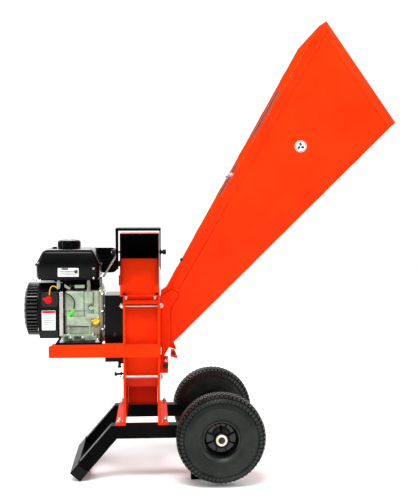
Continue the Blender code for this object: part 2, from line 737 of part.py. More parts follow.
def build_hopper(mats):
    outline = [(point.x, point.y) for point in side_outline()]
    slope = (MOUTH_TOP - THROAT_TOP).normalized()
    for name, sign in (("near", -1), ("far", 1)):
        outer = sign * HOPPER_HALF_Y
        inner = sign * (HOPPER_HALF_Y - SHEET)
        shape = taper(extrude_outline(outline, "Y", min(outer, inner), max(outer, inner)), sign)
        panel = add_object(f"{name}_hopper_panel", shape, mats["orange"])
        join(panel, add_object("lip", taper(side_lip(sign), sign), mats["orange"]))
        seam = sign * (HOPPER_HALF_Y + SEAM_PROUD)
        root = sign * (HOPPER_HALF_Y - SHEET / 2)
        shape = taper(extrude_outline(seam_outline(slope), "Y", min(root, seam), max(root, seam)), sign)
        join(panel, add_object("seam_strip", shape, mats["orange"]))

    forward = mouth_forward()
    edge = (MOUTH_TOP - MOUTH_LOW).normalized()
    lip_run = LIP * 0.9
    top_lip = MOUTH_TOP + (forward * math.cos(LIP_ANGLE) - edge * math.sin(LIP_ANGLE)) * lip_run
    low_lip = MOUTH_LOW + (forward * math.cos(LIP_ANGLE) + edge * math.sin(LIP_ANGLE)) * lip_run
    clear = 0.0165  # where the lips of the sides and of the top and bottom come close, in from the sides
    throat_gap = 0.0045
    top_start = THROAT_TOP + slope * throat_gap
    top = cross_panel("top_hopper_panel", [top_start, MOUTH_TOP], -1, mats)
    bottom_path = [THROAT_LOW, FLOOR_START, MOUTH_LOW]
    bottom = cross_panel("bottom_hopper_panel", bottom_path, 1, mats)
    for panel, corner, tip, side in ((top, MOUTH_TOP, top_lip, -1), (bottom, MOUTH_LOW, low_lip, 1)):
        inset = forward * -0.002
        strip = sheet_outline([corner + inset, corner, tip], SHEET, side)
        reach = HOPPER_HALF_Y - SHEET - clear
        join(panel, add_object("lip", extrude_outline(strip, "Y", -reach, reach), mats["orange"]))

    low = (THROAT_X + GAP, -THROAT_HALF_Y, THROAT_Z[0])
    high = (THROAT_X + FLANGE, THROAT_HALF_Y, THROAT_Z[1])
    flange = add_box("throat_flange", low, high, mats["orange"])
    low = (THROAT_X - 0.01, -FEED_HALF_Y, FEED_Z[0])
    high = (THROAT_X + 0.01, FEED_HALF_Y, FEED_Z[1])
    cut(flange, add_box("feed_opening", low, high, mats["orange"]))
    ear = [
        (THROAT_X + 0.0020, THROAT_Z[0] + 0.006),
        (THROAT_X + 0.0012, THROAT_Z[0] - 0.001),
        (HOPPER_PIN.x - 0.008, HOPPER_PIN.y - 0.009),
        (HOPPER_PIN.x + 0.008, HOPPER_PIN.y - 0.009),
        (HOPPER_PIN.x + 0.009, THROAT_Z[0] - 0.003),
        (THROAT_X + 0.0028, THROAT_Z[0] + 0.006),
    ]
    for y in (-EAR_OUT, EAR_OUT - LUG_THICK):
        plate = extrude_outline(ear, "Y", y, y + LUG_THICK)
        join(flange, add_object("ear", plate, mats["orange"]))
    cut(flange, hinge_rod("hole", 0.08, PIN_HOLE_R, mats["orange"]))
    hinge_rod("hopper_hinge_pin", PIN_HALF, PIN_R, mats["steel"])

    low = (FLAP_HANG.x - 0.0025, -FLAP_HALF_Y, FLAP_HANG.y - FLAP_LENGTH)
    high = (FLAP_HANG.x + 0.0025, FLAP_HALF_Y, FLAP_HANG.y)
    add_box("feed_flap", low, high, mats["cloth_rubber"], origin=(FLAP_HANG.x, 0, FLAP_HANG.y))


def build_chute(mats):
    low_x = CHUTE_X - CHUTE_HALF_X
    high_x = CHUTE_X + CHUTE_HALF_X
    base = PLATE_TOP + GAP
    chute = add_box("discharge_chute", (low_x, CHUTE_Y[0], base), (high_x, CHUTE_Y[1], CHUTE_TOP), mats["orange"])
    wall = CHUTE_WALL
    low = (low_x + wall, CHUTE_Y[0] + wall, base - 0.05)
    high = (high_x - wall, CHUTE_Y[1] - wall, CHUTE_TOP - wall)
    cut(chute, add_box("inside", low, high, mats["orange"]))
    low = (low_x + wall, CHUTE_Y[0] - 0.02, CHUTE_WINDOW_Z)
    high = (high_x - wall, CHUTE_Y[0] + 0.02, CHUTE_TOP - wall)
    cut(chute, add_box("window", low, high, mats["orange"]))
    flange_top = base + wall
    low = (low_x, CHUTE_FLANGE_Y[0], base)
    high = (high_x, CHUTE_FLANGE_Y[1], flange_top)
    flange = add_box("flange", low, high, mats["orange"])
    tab_half = PLATE_IN - GAP
    low = (HOUSING_X - tab_half, CHUTE_FLANGE_Y[1] - wall, CHUTE_TAB_Z)
    high = (HOUSING_X + tab_half, CHUTE_FLANGE_Y[1], flange_top)
    tab = add_box("tab", low, high, mats["orange"])
    join(chute, flange, tab)

    hood = add_box(
        "deflector_hood",
        (HOOD_X - HOOD_HALF_X, HOOD_Y[0], HOOD_Z[0]),
        (HOOD_X + HOOD_HALF_X, HOOD_Y[1], HOOD_Z[1]),
        mats["black"],
        origin=(HOOD_X, HOOD_PIVOT.x, HOOD_PIVOT.y),
    )
    half = HOOD_HALF_X - HOOD_WALL
    low = (HOOD_X - half, HOOD_Y[0] - 0.01, HOOD_Z[0] - 0.01)
    high = (HOOD_X + half, HOOD_Y[1] + 0.01, HOOD_Z[1] - HOOD_WALL)
    cut(hood, add_box("inside", low, high, mats["black"]))
    for name, sign in (("left", -1), ("right", 1)):
        wall_x = CHUTE_X + sign * CHUTE_HALF_X
        hood_x = HOOD_X + sign * HOOD_HALF_X
        hole = ((wall_x - 0.03, HOOD_PIVOT.x, HOOD_PIVOT.y), (wall_x + 0.03, HOOD_PIVOT.x, HOOD_PIVOT.y))
        cut(hood, add_rod("hole", *hole, PIN_HOLE_R, mats["black"], 16))
        start = sign * (wall_x + sign * GAP)
        outer = sign * hood_x
        profile = [
            (start, 0),
            (start, PIN_R),
            (outer + GAP, PIN_R),
            (outer + GAP, KNOB_R),
            (outer + 0.008, KNOB_R),
            (outer + 0.008, 0.0065),
            (outer + KNOB_LENGTH, 0.0065),
            (outer + KNOB_LENGTH, 0),
        ]
        knob = turned(profile, (sign, 0, 0), (0, HOOD_PIVOT.x, HOOD_PIVOT.y), 16, closed=False)
        origin = (hood_x, HOOD_PIVOT.x, HOOD_PIVOT.y)
        add_object(f"{name}_deflector_knob", knob, mats["plastic"], origin)


def build_deck(mats):
    end_x = HOUSING_X + PLATE_OUT - 0.001
    inner_end = HOUSING_X - PLATE_OUT - GAP
    for side, sign in (("near", -1), ("far", 1)):
        face = sign * DECK_FACE_Y
        outer = sign * (DECK_FACE_Y + DECK_THICK)
        low_y = min(face, outer)
        high_y = max(face, outer)
        cut_corner = 0.008
        outline = [
            (DECK_X, DECK_Z[0]),
            (end_x, DECK_Z[0]),
            (end_x, DECK_Z[1]),
            (DECK_X + cut_corner, DECK_Z[1]),
            (DECK_X, DECK_Z[1] - cut_corner),
        ]
        rail = add_object(f"{side}_deck_rail", extrude_outline(outline, "Y", low_y, high_y), mats["orange"])
        shelf_y = sign * (DECK_FACE_Y - 0.030)
        low = (DECK_X + cut_corner, min(shelf_y, outer), DECK_Z[1] - DECK_THICK)
        high = (inner_end, max(shelf_y, outer), DECK_Z[1])
        join(rail, add_box("shelf", low, high, mats["orange"]))
    low = (MOUNT_PLATE_X[0], -DECK_FACE_Y + 0.004, DECK_Z[1] + GAP)
    high = (MOUNT_PLATE_X[1], DECK_FACE_Y - 0.004, ENGINE_BASE_Z - GAP)
    add_box("engine_mount_plate", low, high, mats["black"])


def shroud_outline(inset):
    """The fan housing's section in Y, Z, with its corners cut off, drawn in from its outer face."""
    half = SHROUD_HALF_Y - inset
    bottom = SHROUD_Z[0] + inset
    top = SHROUD_Z[1] - inset
    corner = SHROUD_CORNER
    return [
        (-half + corner, bottom),
        (half - corner, bottom),
        (half, bottom + corner),
        (half, top - corner),
        (half - corner, top),
        (-half + corner, top),
        (-half, top - corner),
        (-half, bottom + corner),
    ]


def build_engine_case(mats):
    case = add_box(
        "crankcase",
        (CASE_X[0], CASE_Y[0], ENGINE_BASE_Z + 0.010),
        (CASE_X[1], CASE_Y[1], CASE_TOP),
        mats["casting"],
        bevel=0.010,
    )
    low = (CASE_X[0] + 0.004, CASE_Y[0] + 0.006, ENGINE_BASE_Z)
    high = (CASE_X[1] - 0.004, CASE_Y[1] + 0.006, ENGINE_BASE_Z + 0.024)
    join(case, add_box("base", low, high, mats["casting"]))
    bore = ((CASE_X[0] - 0.02, 0, CRANK_Z), (CASE_X[1] + 0.02, 0, CRANK_Z))
    cut(case, add_rod("bore", *bore, SHAFT_R + 0.0005, mats["casting"], 24))
    along = Vector((0, math.cos(CYLINDER_LEAN), math.sin(CYLINDER_LEAN)))
    middle_x = (CASE_X[0] + CASE_X[1]) / 2 + 0.004
    foot = Vector((middle_x, CASE_Y[1] - 0.004, 0.532))
    turn = Matrix.Rotation(CYLINDER_LEAN, 4, "X")
    half, length = BARREL
    barrel = box_shape((-half, 0, -half), (half, length, half))
    bmesh.ops.transform(barrel, matrix=Matrix.Translation(foot) @ turn, verts=barrel.verts)
    join(case, add_object("barrel", barrel, mats["casting"]))
    start = foot + along * (length + GAP)
    half, length = HEAD
    head = box_shape((-half, 0, -half), (half, length, half))
    bmesh.ops.transform(head, matrix=Matrix.Translation(start) @ turn, verts=head.verts)
    add_object("cylinder_head", head, mats["casting"])


def build_engine_covers(mats):
    shroud = add_object("fan_shroud", extrude_outline(shroud_outline(0), "X", *SHROUD_X), mats["plastic"])
    inside = extrude_outline(shroud_outline(SHROUD_WALL), "X", SHROUD_X[0] + SHROUD_WALL, SHROUD_X[1] + 0.01)
    cut(shroud, add_object("inside", inside, mats["plastic"]))
    hole = ((SHROUD_X[0] - 0.01, 0, CRANK_Z), (SHROUD_X[0] + 0.01, 0, CRANK_Z))
    cut(shroud, add_rod("air_hole", *hole, AIR_HOLE_R, mats["plastic"], 32))

    seat = SHROUD_X[0] - GAP
    profile = [
        (seat, RECOIL_R),
        (RECOIL_X + 0.016, RECOIL_R - 0.002),
        (RECOIL_X + 0.004, RECOIL_R - 0.010),
        (RECOIL_X, RECOIL_R - 0.024),
        (RECOIL_X, 0.018),
        (RECOIL_X + 0.003, 0.018),
        (RECOIL_X + 0.003, RECOIL_R - 0.026),
        (RECOIL_X + 0.018, RECOIL_R - 0.006),
        (seat, RECOIL_R - 0.004),
    ]
    cover = turned(profile, (1, 0, 0), (0, 0, CRANK_Z), 36)
    add_object("recoil_cover", cover, mats["plastic"])

    start = HANDLE_CENTRE
    along = HANDLE_DIRECTION.normalized()
    profile = [(0.0, 0), (0.0, 0.006), (0.012, 0.009), (0.020, 0.009), (0.026, 0.005), (0.026, 0)]
    grip_axis = start + along * 0.012
    grip = turned(profile, along, grip_axis, 16, closed=False)
    handle = add_object("recoil_handle", grip, mats["plastic"], start)
    bar_middle = grip_axis + along * 0.016
    bar = rod_shape(bar_middle - Vector((0.018, 0, 0)), bar_middle + Vector((0.040, 0, 0)), 0.0075)
    join(handle, add_object("bar", bar, mats["plastic"]))

    profile = [
        (-0.275, 0),
        (-0.275, SHAFT_R),
        (-0.470, SHAFT_R),
        (-0.470, 0.030),
        (-0.480, FLYWHEEL_R),
        (-0.500, FLYWHEEL_R),
        (-0.505, 0.030),
        (-0.548, 0.030),
        (-0.548, 0),
    ]
    crank = turned(profile, (1, 0, 0), (0, 0, CRANK_Z), 32, closed=False)
    add_object("crankshaft", crank, mats["tool_steel"], (PULLEY_X, 0, CRANK_Z))


def build_fuel_system(mats):
    low, seam, top = TANK_Z
    outline = [
        (TANK_X[0] + 0.004, low + 0.010),
        (TANK_X[0] + 0.014, low),
        (TANK_X[1] - 0.012, low),
        (TANK_X[1] - 0.002, low + 0.010),
        (TANK_X[1], seam),
        (TANK_X[1] - TANK_SLOPE, top - 0.005),
        (TANK_X[1] - TANK_SLOPE - 0.010, top),
        (TANK_X[0] + TANK_SLOPE + 0.010, top),
        (TANK_X[0] + TANK_SLOPE, top - 0.005),
        (TANK_X[0], seam),
    ]
    tank = extrude_outline(outline, "Y", *TANK_Y)
    long_edges = [edge for edge in tank.edges if abs(edge.verts[0].co.y - edge.verts[1].co.y) < 1e-6]
    bmesh.ops.bevel(tank, geom=long_edges, offset=0.008, segments=2, affect="EDGES", profile=0.5)
    add_object("fuel_tank", tank, mats["plastic"])

    centre = (FUEL_CAP.x, FUEL_CAP.y, top + GAP)
    outer = FUEL_CAP_R
    height = FUEL_CAP_HEIGHT
    profile = [(0, 0), (0, outer - 0.002), (0.003, outer)]
    profile += [(height - 0.005, outer), (height, outer - 0.003), (height, 0)]
    add_object("fuel_cap", turned(profile, (0, 0, 1), centre, 28, closed=False), mats["plastic"], centre)

    cleaner = add_box("air_cleaner", *AIR_CLEANER, mats["plastic"], bevel=0.010)
    join(cleaner, add_box("intake", *INTAKE, mats["plastic"]))
    add_box("muffler", *MUFFLER, mats["black"], bevel=0.008)


def add_lever(name, x, length, angle, mats):
    """A flat control lever on an X axis, with a round boss at its pivot."""
    boss = rod_shape((x, LEVER_PIVOT.y, LEVER_PIVOT.z), (x + 0.004, LEVER_PIVOT.y, LEVER_PIVOT.z), 0.007, 16)
    lever = add_object(name, boss, mats["plastic"], (x, LEVER_PIVOT.y, LEVER_PIVOT.z))
    arm = box_shape((0.0005, 0.0, -0.004), (0.0035, length, 0.004))
    turn = Matrix.Translation((x, LEVER_PIVOT.y, LEVER_PIVOT.z)) @ Matrix.Rotation(angle, 4, "X")
    bmesh.ops.transform(arm, matrix=turn, verts=arm.verts)
    return join(lever, add_object("arm", arm, mats["plastic"]))


def build_engine_controls(mats):
    profile = [(0, 0), (0, 0.0115), (0.004, 0.0118), (0.011, 0.0105), (0.011, 0)]
    seat = SWITCH_CENTRE + Vector((0, -GAP, 0))
    switch = add_object("stop_switch", turned(profile, (0, -1, 0), seat, 20, closed=False), mats["red"], seat)
    ridge = add_box(
        "ridge",
        (seat.x - 0.017, seat.y - 0.010, seat.z - 0.0028),
        (seat.x + 0.004, seat.y - 0.004, seat.z + 0.0028),
        mats["red"],
    )
    join(switch, ridge)

    direction = OIL_CAP_DIRECTION.normalized()
    seat = OIL_CAP_CENTRE + Vector((0, -0.0005, 0.0)) + direction * 0.007
    profile = [(0, 0), (0, 0.0085), (0.004, 0.0085), (0.004, 0.0120), (0.012, 0.0120), (0.012, 0)]
    oil_cap = add_object("oil_cap", turned(profile, direction, seat, 20, closed=False), mats["yellow"], seat)
    wing = box_shape((-0.0025, -0.0105, 0.010), (0.0025, 0.0105, 0.019))
    tilt = direction.to_track_quat("Z", "X").to_matrix().to_4x4()
    bmesh.ops.transform(wing, matrix=Matrix.Translation(seat) @ tilt, verts=wing.verts)
    join(oil_cap, add_object("wing", wing, mats["yellow"]))

    add_box("carburettor", *CARBURETTOR, mats["casting"], bevel=0.004)
    add_lever("throttle_lever", LEVER_PIVOT.x, 0.045, math.radians(40), mats)
    add_lever("choke_lever", LEVER_PIVOT.x + 0.008, 0.035, math.radians(-35), mats)


def build():
    clear_scene()
    mats = make_materials()
    build_frame(mats)
    build_wheels(mats)
    build_housing(mats)
    build_rotor(mats)
    build_drive(mats)
    build_hopper(mats)
    build_chute(mats)
    build_deck(mats)
    build_engine_case(mats)
    build_engine_covers(mats)
    build_fuel_system(mats)
    build_engine_controls(mats)


build()
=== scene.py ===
import json
import math

import bmesh
import bpy
from mathutils import Matrix, Vector


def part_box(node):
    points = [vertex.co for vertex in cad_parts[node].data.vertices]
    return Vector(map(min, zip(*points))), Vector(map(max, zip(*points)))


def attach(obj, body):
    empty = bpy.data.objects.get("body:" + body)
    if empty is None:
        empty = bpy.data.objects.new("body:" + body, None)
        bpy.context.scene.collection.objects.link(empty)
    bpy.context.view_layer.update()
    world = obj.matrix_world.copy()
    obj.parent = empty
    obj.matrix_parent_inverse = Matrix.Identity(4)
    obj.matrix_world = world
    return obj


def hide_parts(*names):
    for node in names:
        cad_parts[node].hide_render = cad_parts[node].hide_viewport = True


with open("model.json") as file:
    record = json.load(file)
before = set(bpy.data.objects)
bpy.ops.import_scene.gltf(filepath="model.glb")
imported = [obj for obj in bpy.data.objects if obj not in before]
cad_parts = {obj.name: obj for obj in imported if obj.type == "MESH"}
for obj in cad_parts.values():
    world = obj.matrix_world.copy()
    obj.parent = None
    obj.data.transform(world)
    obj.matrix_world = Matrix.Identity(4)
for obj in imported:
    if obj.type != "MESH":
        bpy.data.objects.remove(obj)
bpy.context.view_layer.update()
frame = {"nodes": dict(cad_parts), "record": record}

# The looks of a portable wood chipper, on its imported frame. Units are metres, +Z up, in the frame's own space.

NODES = frame["nodes"]
BODY_OF = {node: body for body, nodes in frame["record"]["behaviour"]["bodies"].items() for node in nodes}
JOINTS = {joint["name"]: joint for joint in frame["record"]["behaviour"]["joints"]}


# The machine's main lines, where a fitting is set by one that is not a whole node.
LEG_LEAN = math.radians(49)
LEG_HALF = 0.0205  # from a leg's middle line to its face, with the bead
HOUSING_X = -0.199
PLATE_OUT = 0.056  # from the housing's middle to a side plate's outer face
TIE_ROD_R = 0.004
TIE_ROD_STUB = 0.0107  # what stands out past a side plate
HOOD_X = -0.2063
HOOD_OUT = 0.0655
CASE_SIDE_X = -0.327
CYLINDER_LEAN = math.radians(25)
CYLINDER_FOOT = (0.004, 0.066, 0.532)  # x is from the crankcase's middle
TANK_SEAM_Z = 0.6605

# The hopper's side, seen square on: its throat's top corner and its mouth's two corners.
THROAT = Vector((-0.139, 0, 0.541))
MOUTH_TOP = Vector((0.3345, 0, 1.378))
MOUTH_LOW = Vector((0.5488, 0, 1.0754))
HOPPER_FOOT = Vector((-0.111, 0, 0.402))
MOUTH_EDGE = (MOUTH_TOP - MOUTH_LOW).normalized()
MOUTH_WAY = Vector((MOUTH_EDGE.z, 0, -MOUTH_EDGE.x))
MOUTH_HALF_WIDTH = 0.202
HOPPER_TAPER = 0.135

# ---------------------------------------------------------------- materials

MIX_RANGE = (0.38, 0.66)  # where the noise goes over from the first colour to the second


def socket(shader, name, value):
    shader.inputs[name].default_value = value


def new_material(name, colour, second, mix_scale, roughness, spread, bump_scale, bump_depth, metallic=0.0,
                 stretch=(1.0, 1.0, 1.0), specular=0.5, ior=1.45):
    """A surface whose colour, roughness and relief vary by noise in object space, in metres."""
    made = bpy.data.materials.new(name)
    made.use_nodes = True
    nodes = made.node_tree.nodes
    link = made.node_tree.links.new
    shader = nodes["Principled BSDF"]
    socket(shader, "Metallic", metallic)
    socket(shader, "Specular IOR Level", specular)
    socket(shader, "IOR", ior)
    place = nodes.new("ShaderNodeTexCoord")
    scale = nodes.new("ShaderNodeMapping")
    scale.inputs["Scale"].default_value = stretch
    link(place.outputs["Object"], scale.inputs["Vector"])

    def noise(size, detail):
        made_noise = nodes.new("ShaderNodeTexNoise")
        made_noise.inputs["Scale"].default_value = size
        made_noise.inputs["Detail"].default_value = detail
        link(scale.outputs["Vector"], made_noise.inputs["Vector"])
        return made_noise

    tint = noise(mix_scale, 6.0)
    tint.inputs["Roughness"].default_value = 0.62
    ramp = nodes.new("ShaderNodeValToRGB")
    for stop, position, tone in zip(ramp.color_ramp.elements, MIX_RANGE, (colour, second)):
        stop.position = position
        stop.color = (*tone, 1.0)
    link(tint.outputs["Fac"], ramp.inputs["Fac"])
    link(ramp.outputs["Color"], shader.inputs["Base Color"])

    rough = nodes.new("ShaderNodeMapRange")
    rough.inputs["To Min"].default_value = roughness - spread
    rough.inputs["To Max"].default_value = roughness + spread
    link(noise(bump_scale * 0.2, 4.0).outputs["Fac"], rough.inputs["Value"])
    link(rough.outputs["Result"], shader.inputs["Roughness"])

    bump = nodes.new("ShaderNodeBump")
    bump.inputs["Strength"].default_value = 0.6
    bump.inputs["Distance"].default_value = bump_depth
    link(noise(bump_scale, 3.0).outputs["Fac"], bump.inputs["Height"])
    link(bump.outputs["Normal"], shader.inputs["Normal"])
    return made


def make_materials():
    make = new_material
    return {
        "orange": make("orange_powder_coat", (0.84, 0.033, 0.0026), (0.74, 0.025, 0.0018), 7, 0.36, 0.06, 900,
                       0.00012, ior=1.10),
        "orange_matt": make("orange_top_coat", (0.84, 0.033, 0.0026), (0.74, 0.025, 0.0018), 7, 0.62, 0.06,
                            900, 0.00012, specular=0.0, ior=1.02),
        # orange_shade: dark orange for thin strips laid in seams and along folds, as painted shade.
        "orange_shade": make("orange_painted_crevice_shade", (0.16, 0.004, 0.0005), (0.09, 0.002, 0.0003), 40, 0.50, 0.06,
                             900, 0.00010, ior=1.08),
        "black": make("black_powder_coat", (0.0016, 0.0017, 0.0020), (0.0040, 0.0040, 0.0042), 9, 0.30, 0.08,
                      1100, 0.00015, ior=1.08),
        "rubber": make("tyre_rubber", (0.0055, 0.0080, 0.0064), (0.015, 0.019, 0.015), 22, 0.38, 0.10, 700,
                       0.00025, ior=1.32),
        "plastic": make("moulded_plastic", (0.0018, 0.0020, 0.0020), (0.0038, 0.0041, 0.0041), 14, 0.16, 0.06,
                        1500, 0.00006, ior=1.20),
        "rim": make("rim_plastic", (0.0020, 0.0022, 0.0022), (0.0045, 0.0045, 0.0045), 20, 0.14, 0.06, 1500,
                    0.00006, ior=1.45),
        "flap": make("flap_rubber", (0.010, 0.010, 0.010), (0.020, 0.019, 0.018), 18, 0.78, 0.08, 500,
                     0.00025, specular=0.1),
        "steel": make("zinc_plated_steel", (0.66, 0.65, 0.60), (0.50, 0.49, 0.44), 40, 0.27, 0.08, 1200,
                      0.00006, metallic=1.0),
        "tool_steel": make("ground_tool_steel", (0.46, 0.46, 0.47), (0.34, 0.34, 0.35), 10, 0.33, 0.09, 260,
                           0.00010, metallic=1.0, stretch=(1, 1, 14)),
        "casting": make("die_cast_aluminium", (0.45, 0.55, 0.41), (0.29, 0.36, 0.26), 26, 0.42, 0.10, 1300,
                        0.00022, metallic=0.35, specular=0.3),
        "iron": make("cast_iron", (0.05, 0.05, 0.055), (0.02, 0.02, 0.02), 30, 0.52, 0.10, 700, 0.0004,
                     metallic=0.6),
        "red": make("red_plastic", (0.66, 0.006, 0.008), (0.52, 0.004, 0.006), 30, 0.26, 0.05, 1500, 0.00006,
                    specular=0.12),
        "yellow": make("yellow_plastic", (0.92, 0.55, 0.015), (0.80, 0.44, 0.010), 40, 0.32, 0.05, 1500,
                       0.00006, specular=0.12),
        "green": make("green_connector", (0.09, 0.80, 0.05), (0.07, 0.62, 0.04), 60, 0.38, 0.05, 1500,
                      0.00006, specular=0.12),
        "white": make("white_label", (0.86, 0.86, 0.84), (0.78, 0.78, 0.76), 50, 0.36, 0.06, 1600, 0.00002),
        "grey_print": make("grey_print", (0.05, 0.05, 0.05), (0.03, 0.03, 0.03), 50, 0.45, 0.05, 1600,
                           0.00002),
        "cream": make("hub_bushing", (0.74, 0.71, 0.56), (0.58, 0.55, 0.42), 60, 0.40, 0.06, 1400, 0.00008),
        "weld": make("painted_weld", (0.74, 0.026, 0.0030), (0.54, 0.018, 0.002), 160, 0.34, 0.06, 900,
                     0.0004, specular=0.10),
        "floor": make("pale_floor", (0.93, 0.93, 0.93), (0.91, 0.91, 0.91), 3, 0.80, 0.05, 60, 0.0001,
                      specular=0.05),
    }


MATS = make_materials()


# ---------------------------------------------------------------- shapes


def join_rings(shape, first, second):
    """Faces between two rings of points of the same number."""
    for k in range(len(first)):
        n = (k + 1) % len(first)
        shape.faces.new((first[k], first[n], second[n], second[k]))


def add_slab(shape, first, second):
    """A closed body between two flat outlines of the same number of points."""
    rings = [[shape.verts.new(point) for point in outline] for outline in (first, second)]
    join_rings(shape, *rings)
    for ring in rings:
        shape.faces.new(ring)


def add_lathe(shape, profile, axis, centre, steps=32, spin=0.0):
    """Turns (along the axis, radius) points about an axis. A closed profile makes a ring."""
    to_axis = Vector(axis).normalized().to_track_quat("Z", "Y").to_matrix()
    rings = []
    for k in range(steps):
        turn = spin + 2 * math.pi * k / steps
        ring = []
        for along, radius in profile:
            local = Vector((radius * math.cos(turn), radius * math.sin(turn), along))
            ring.append(shape.verts.new(to_axis @ local + Vector(centre)))
        rings.append(ring)
    for first, second in zip(rings, rings[1:] + rings[:1]):
        for k in range(len(profile)):
            n = (k + 1) % len(profile)
            if profile[k][1] < 1e-7 and profile[n][1] < 1e-7:
                continue
            shape.faces.new((first[k], first[n], second[n], second[k]))


def add_turned(shape, profile, axis, centre, steps=32, spin=0.0):
    """A solid turned body: the profile's two ends are closed to the axis."""
    closed = [(profile[0][0], 0), *profile, (profile[-1][0], 0)]
    add_lathe(shape, closed, axis, centre, steps, spin)


def add_box(shape, low, high, turn=None):
    """A box; a turn matrix moves it from its own space into place."""
    made = bmesh.ops.create_cube(shape, size=1.0)["verts"]
    low, high = Vector(low), Vector(high)
    size = high - low
    centre = (low + high) / 2
    for vert in made:
        vert.co = Vector((vert.co.x * size.x, vert.co.y * size.y, vert.co.z * size.z)) + centre
        if turn is not None:
            vert.co = turn @ vert.co


def add_prism(shape, outline, axis, low, high):
    """A flat outline pushed along an axis. The outline's points are in the other two axes, in order."""
    order = {"X": (1, 2, 0), "Y": (0, 2, 1), "Z": (0, 1, 2)}[axis]
    ends = []
    for level in (low, high):
        ring = []
        for a, b in outline:
            point = [0.0, 0.0, 0.0]
            point[order[0]], point[order[1]], point[order[2]] = a, b, level
            ring.append(point)
        ends.append(ring)
    add_slab(shape, *ends)


def arc_points(centre, radius, start, end, steps):
    """Points along an arc, with its angles in degrees."""
    points = []
    for k in range(steps + 1):
        turn = math.radians(start + (end - start) * k / steps)
        points.append((centre[0] + radius * math.cos(turn), centre[1] + radius * math.sin(turn)))
    return points


def rounded_box_outline(low, high, radius, steps=5):
    corners = (
        ((high[0] - radius, high[1] - radius), 0),
        ((low[0] + radius, high[1] - radius), 90),
        ((low[0] + radius, low[1] + radius), 180),
        ((high[0] - radius, low[1] + radius), 270),
    )
    points = []
    for centre, start in corners:
        points += arc_points(centre, radius, start, start + 90, steps)
    return points


WASHER_THICK = 0.0012
THREAD_PITCH = 0.0012


def turned_outline(outline, centre, turn):
    """A flat outline about a point, turned in its own plane."""
    cos, sin = math.cos(turn), math.sin(turn)
    return [(centre[0] + a * cos - b * sin, centre[1] + a * sin + b * cos) for a, b in outline]


def add_panel(shape, low, high, radius, axis, start, end):
    """A plate with round corners, pushed along an axis."""
    add_prism(shape, rounded_box_outline(low, high, radius), axis, start, end)


def spun(centre, turn, axis):
    """A place at a point, turned about an axis."""
    return Matrix.Translation(centre) @ Matrix.Rotation(turn, 4, axis)


def add_hex_head(shape, point, normal, across, height, washer=0.0, spin=0.0):
    """A hexagon bolt head or nut with a crowned top, on an optional washer."""
    point = Vector(point)
    normal = Vector(normal).normalized()
    if washer:
        rim = washer * 0.5
        add_turned(shape, [(0, rim), (WASHER_THICK, rim)], normal, point, 24)
        point = point + normal * WASHER_THICK
    corner = across / math.sqrt(3)
    profile = [(0, 0), (0, corner), (height * 0.82, corner), (height, corner * 0.80), (height, 0)]
    add_lathe(shape, profile, normal, point, 6, spin=spin)
    return point + normal * height


def add_thread_end(shape, point, normal, radius, length):
    """The end of a threaded rod that stands out of a nut."""
    profile = [(0, 0)]
    for k in range(int(length / THREAD_PITCH)):
        profile += [(k * THREAD_PITCH, radius * 0.88), ((k + 0.5) * THREAD_PITCH, radius)]
    profile += [(length, radius * 0.8), (length, 0)]
    add_lathe(shape, profile, normal, point, 14)


def add_dome(shape, point, normal, radius, height, steps=20):
    """A low round head, such as a carriage bolt's or a rivet's."""
    profile = [(0, 0), (0, radius)]
    for k in range(1, 6):
        turn = math.radians(90 * k / 5)
        profile.append((height * math.sin(turn), radius * math.cos(turn)))
    profile[-1] = (height, 0.0)
    add_lathe(shape, profile, normal, point, steps)


def add_weld(shape, start, end, radius, pitch=0.0045):
    """A weld bead: a half-round run of overlapping ripples."""
    start, end = Vector(start), Vector(end)
    run = (end - start).length
    count = max(3, int(run / pitch) * 4)
    profile = [(0.0, 0.0)]
    for k in range(count + 1):
        ripple = 0.78 + 0.22 * abs(math.sin(math.pi * k / 4))
        fade = min(1.0, 0.45 + 0.55 * min(k, count - k) / 3)
        profile.append((run * k / count, radius * ripple * fade))
    profile.append((run, 0.0))
    add_lathe(shape, profile, end - start, start, 10)


SAME_POINT, SAME_CAD_POINT = 1e-6, 2e-5
FLAT_WITHIN = math.radians(0.6)


def finish_shape(name, shape, mat, body="root", bevel=0.0, angle=32, segments=2):
    """Makes the piece, smooths it, rounds its edges and puts it on its body."""
    bmesh.ops.remove_doubles(shape, verts=shape.verts, dist=SAME_POINT)
    bmesh.ops.recalc_face_normals(shape, faces=shape.faces)
    mesh = bpy.data.meshes.new(name)
    shape.to_mesh(mesh)
    shape.free()
    mesh.materials.append(MATS[mat])
    mesh.shade_smooth()
    mesh.set_sharp_from_angle(angle=math.radians(angle))
    piece = bpy.data.objects.new(name, mesh)
    bpy.context.collection.objects.link(piece)
    if bevel:
        edge = piece.modifiers.new("edge", "BEVEL")
        edge.width = bevel
        edge.segments = segments
        edge.limit_method = "ANGLE"
        edge.angle_limit = math.radians(angle)
        edge.harden_normals = True
        edge.use_clamp_overlap = True
    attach(piece, body)
    return piece


def refine(node, mat, bevel, angle=32, segments=2):
    """Stands in for a CAD node with the same shape, its edges rounded."""
    shape = bmesh.new()
    shape.from_mesh(NODES[node].data)
    bmesh.ops.remove_doubles(shape, verts=shape.verts, dist=SAME_CAD_POINT)
    bmesh.ops.dissolve_limit(shape, angle_limit=FLAT_WITHIN, verts=shape.verts, edges=shape.edges)
    piece = finish_shape(node + "_finished", shape, mat, BODY_OF[node], bevel, angle, segments)
    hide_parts(node)


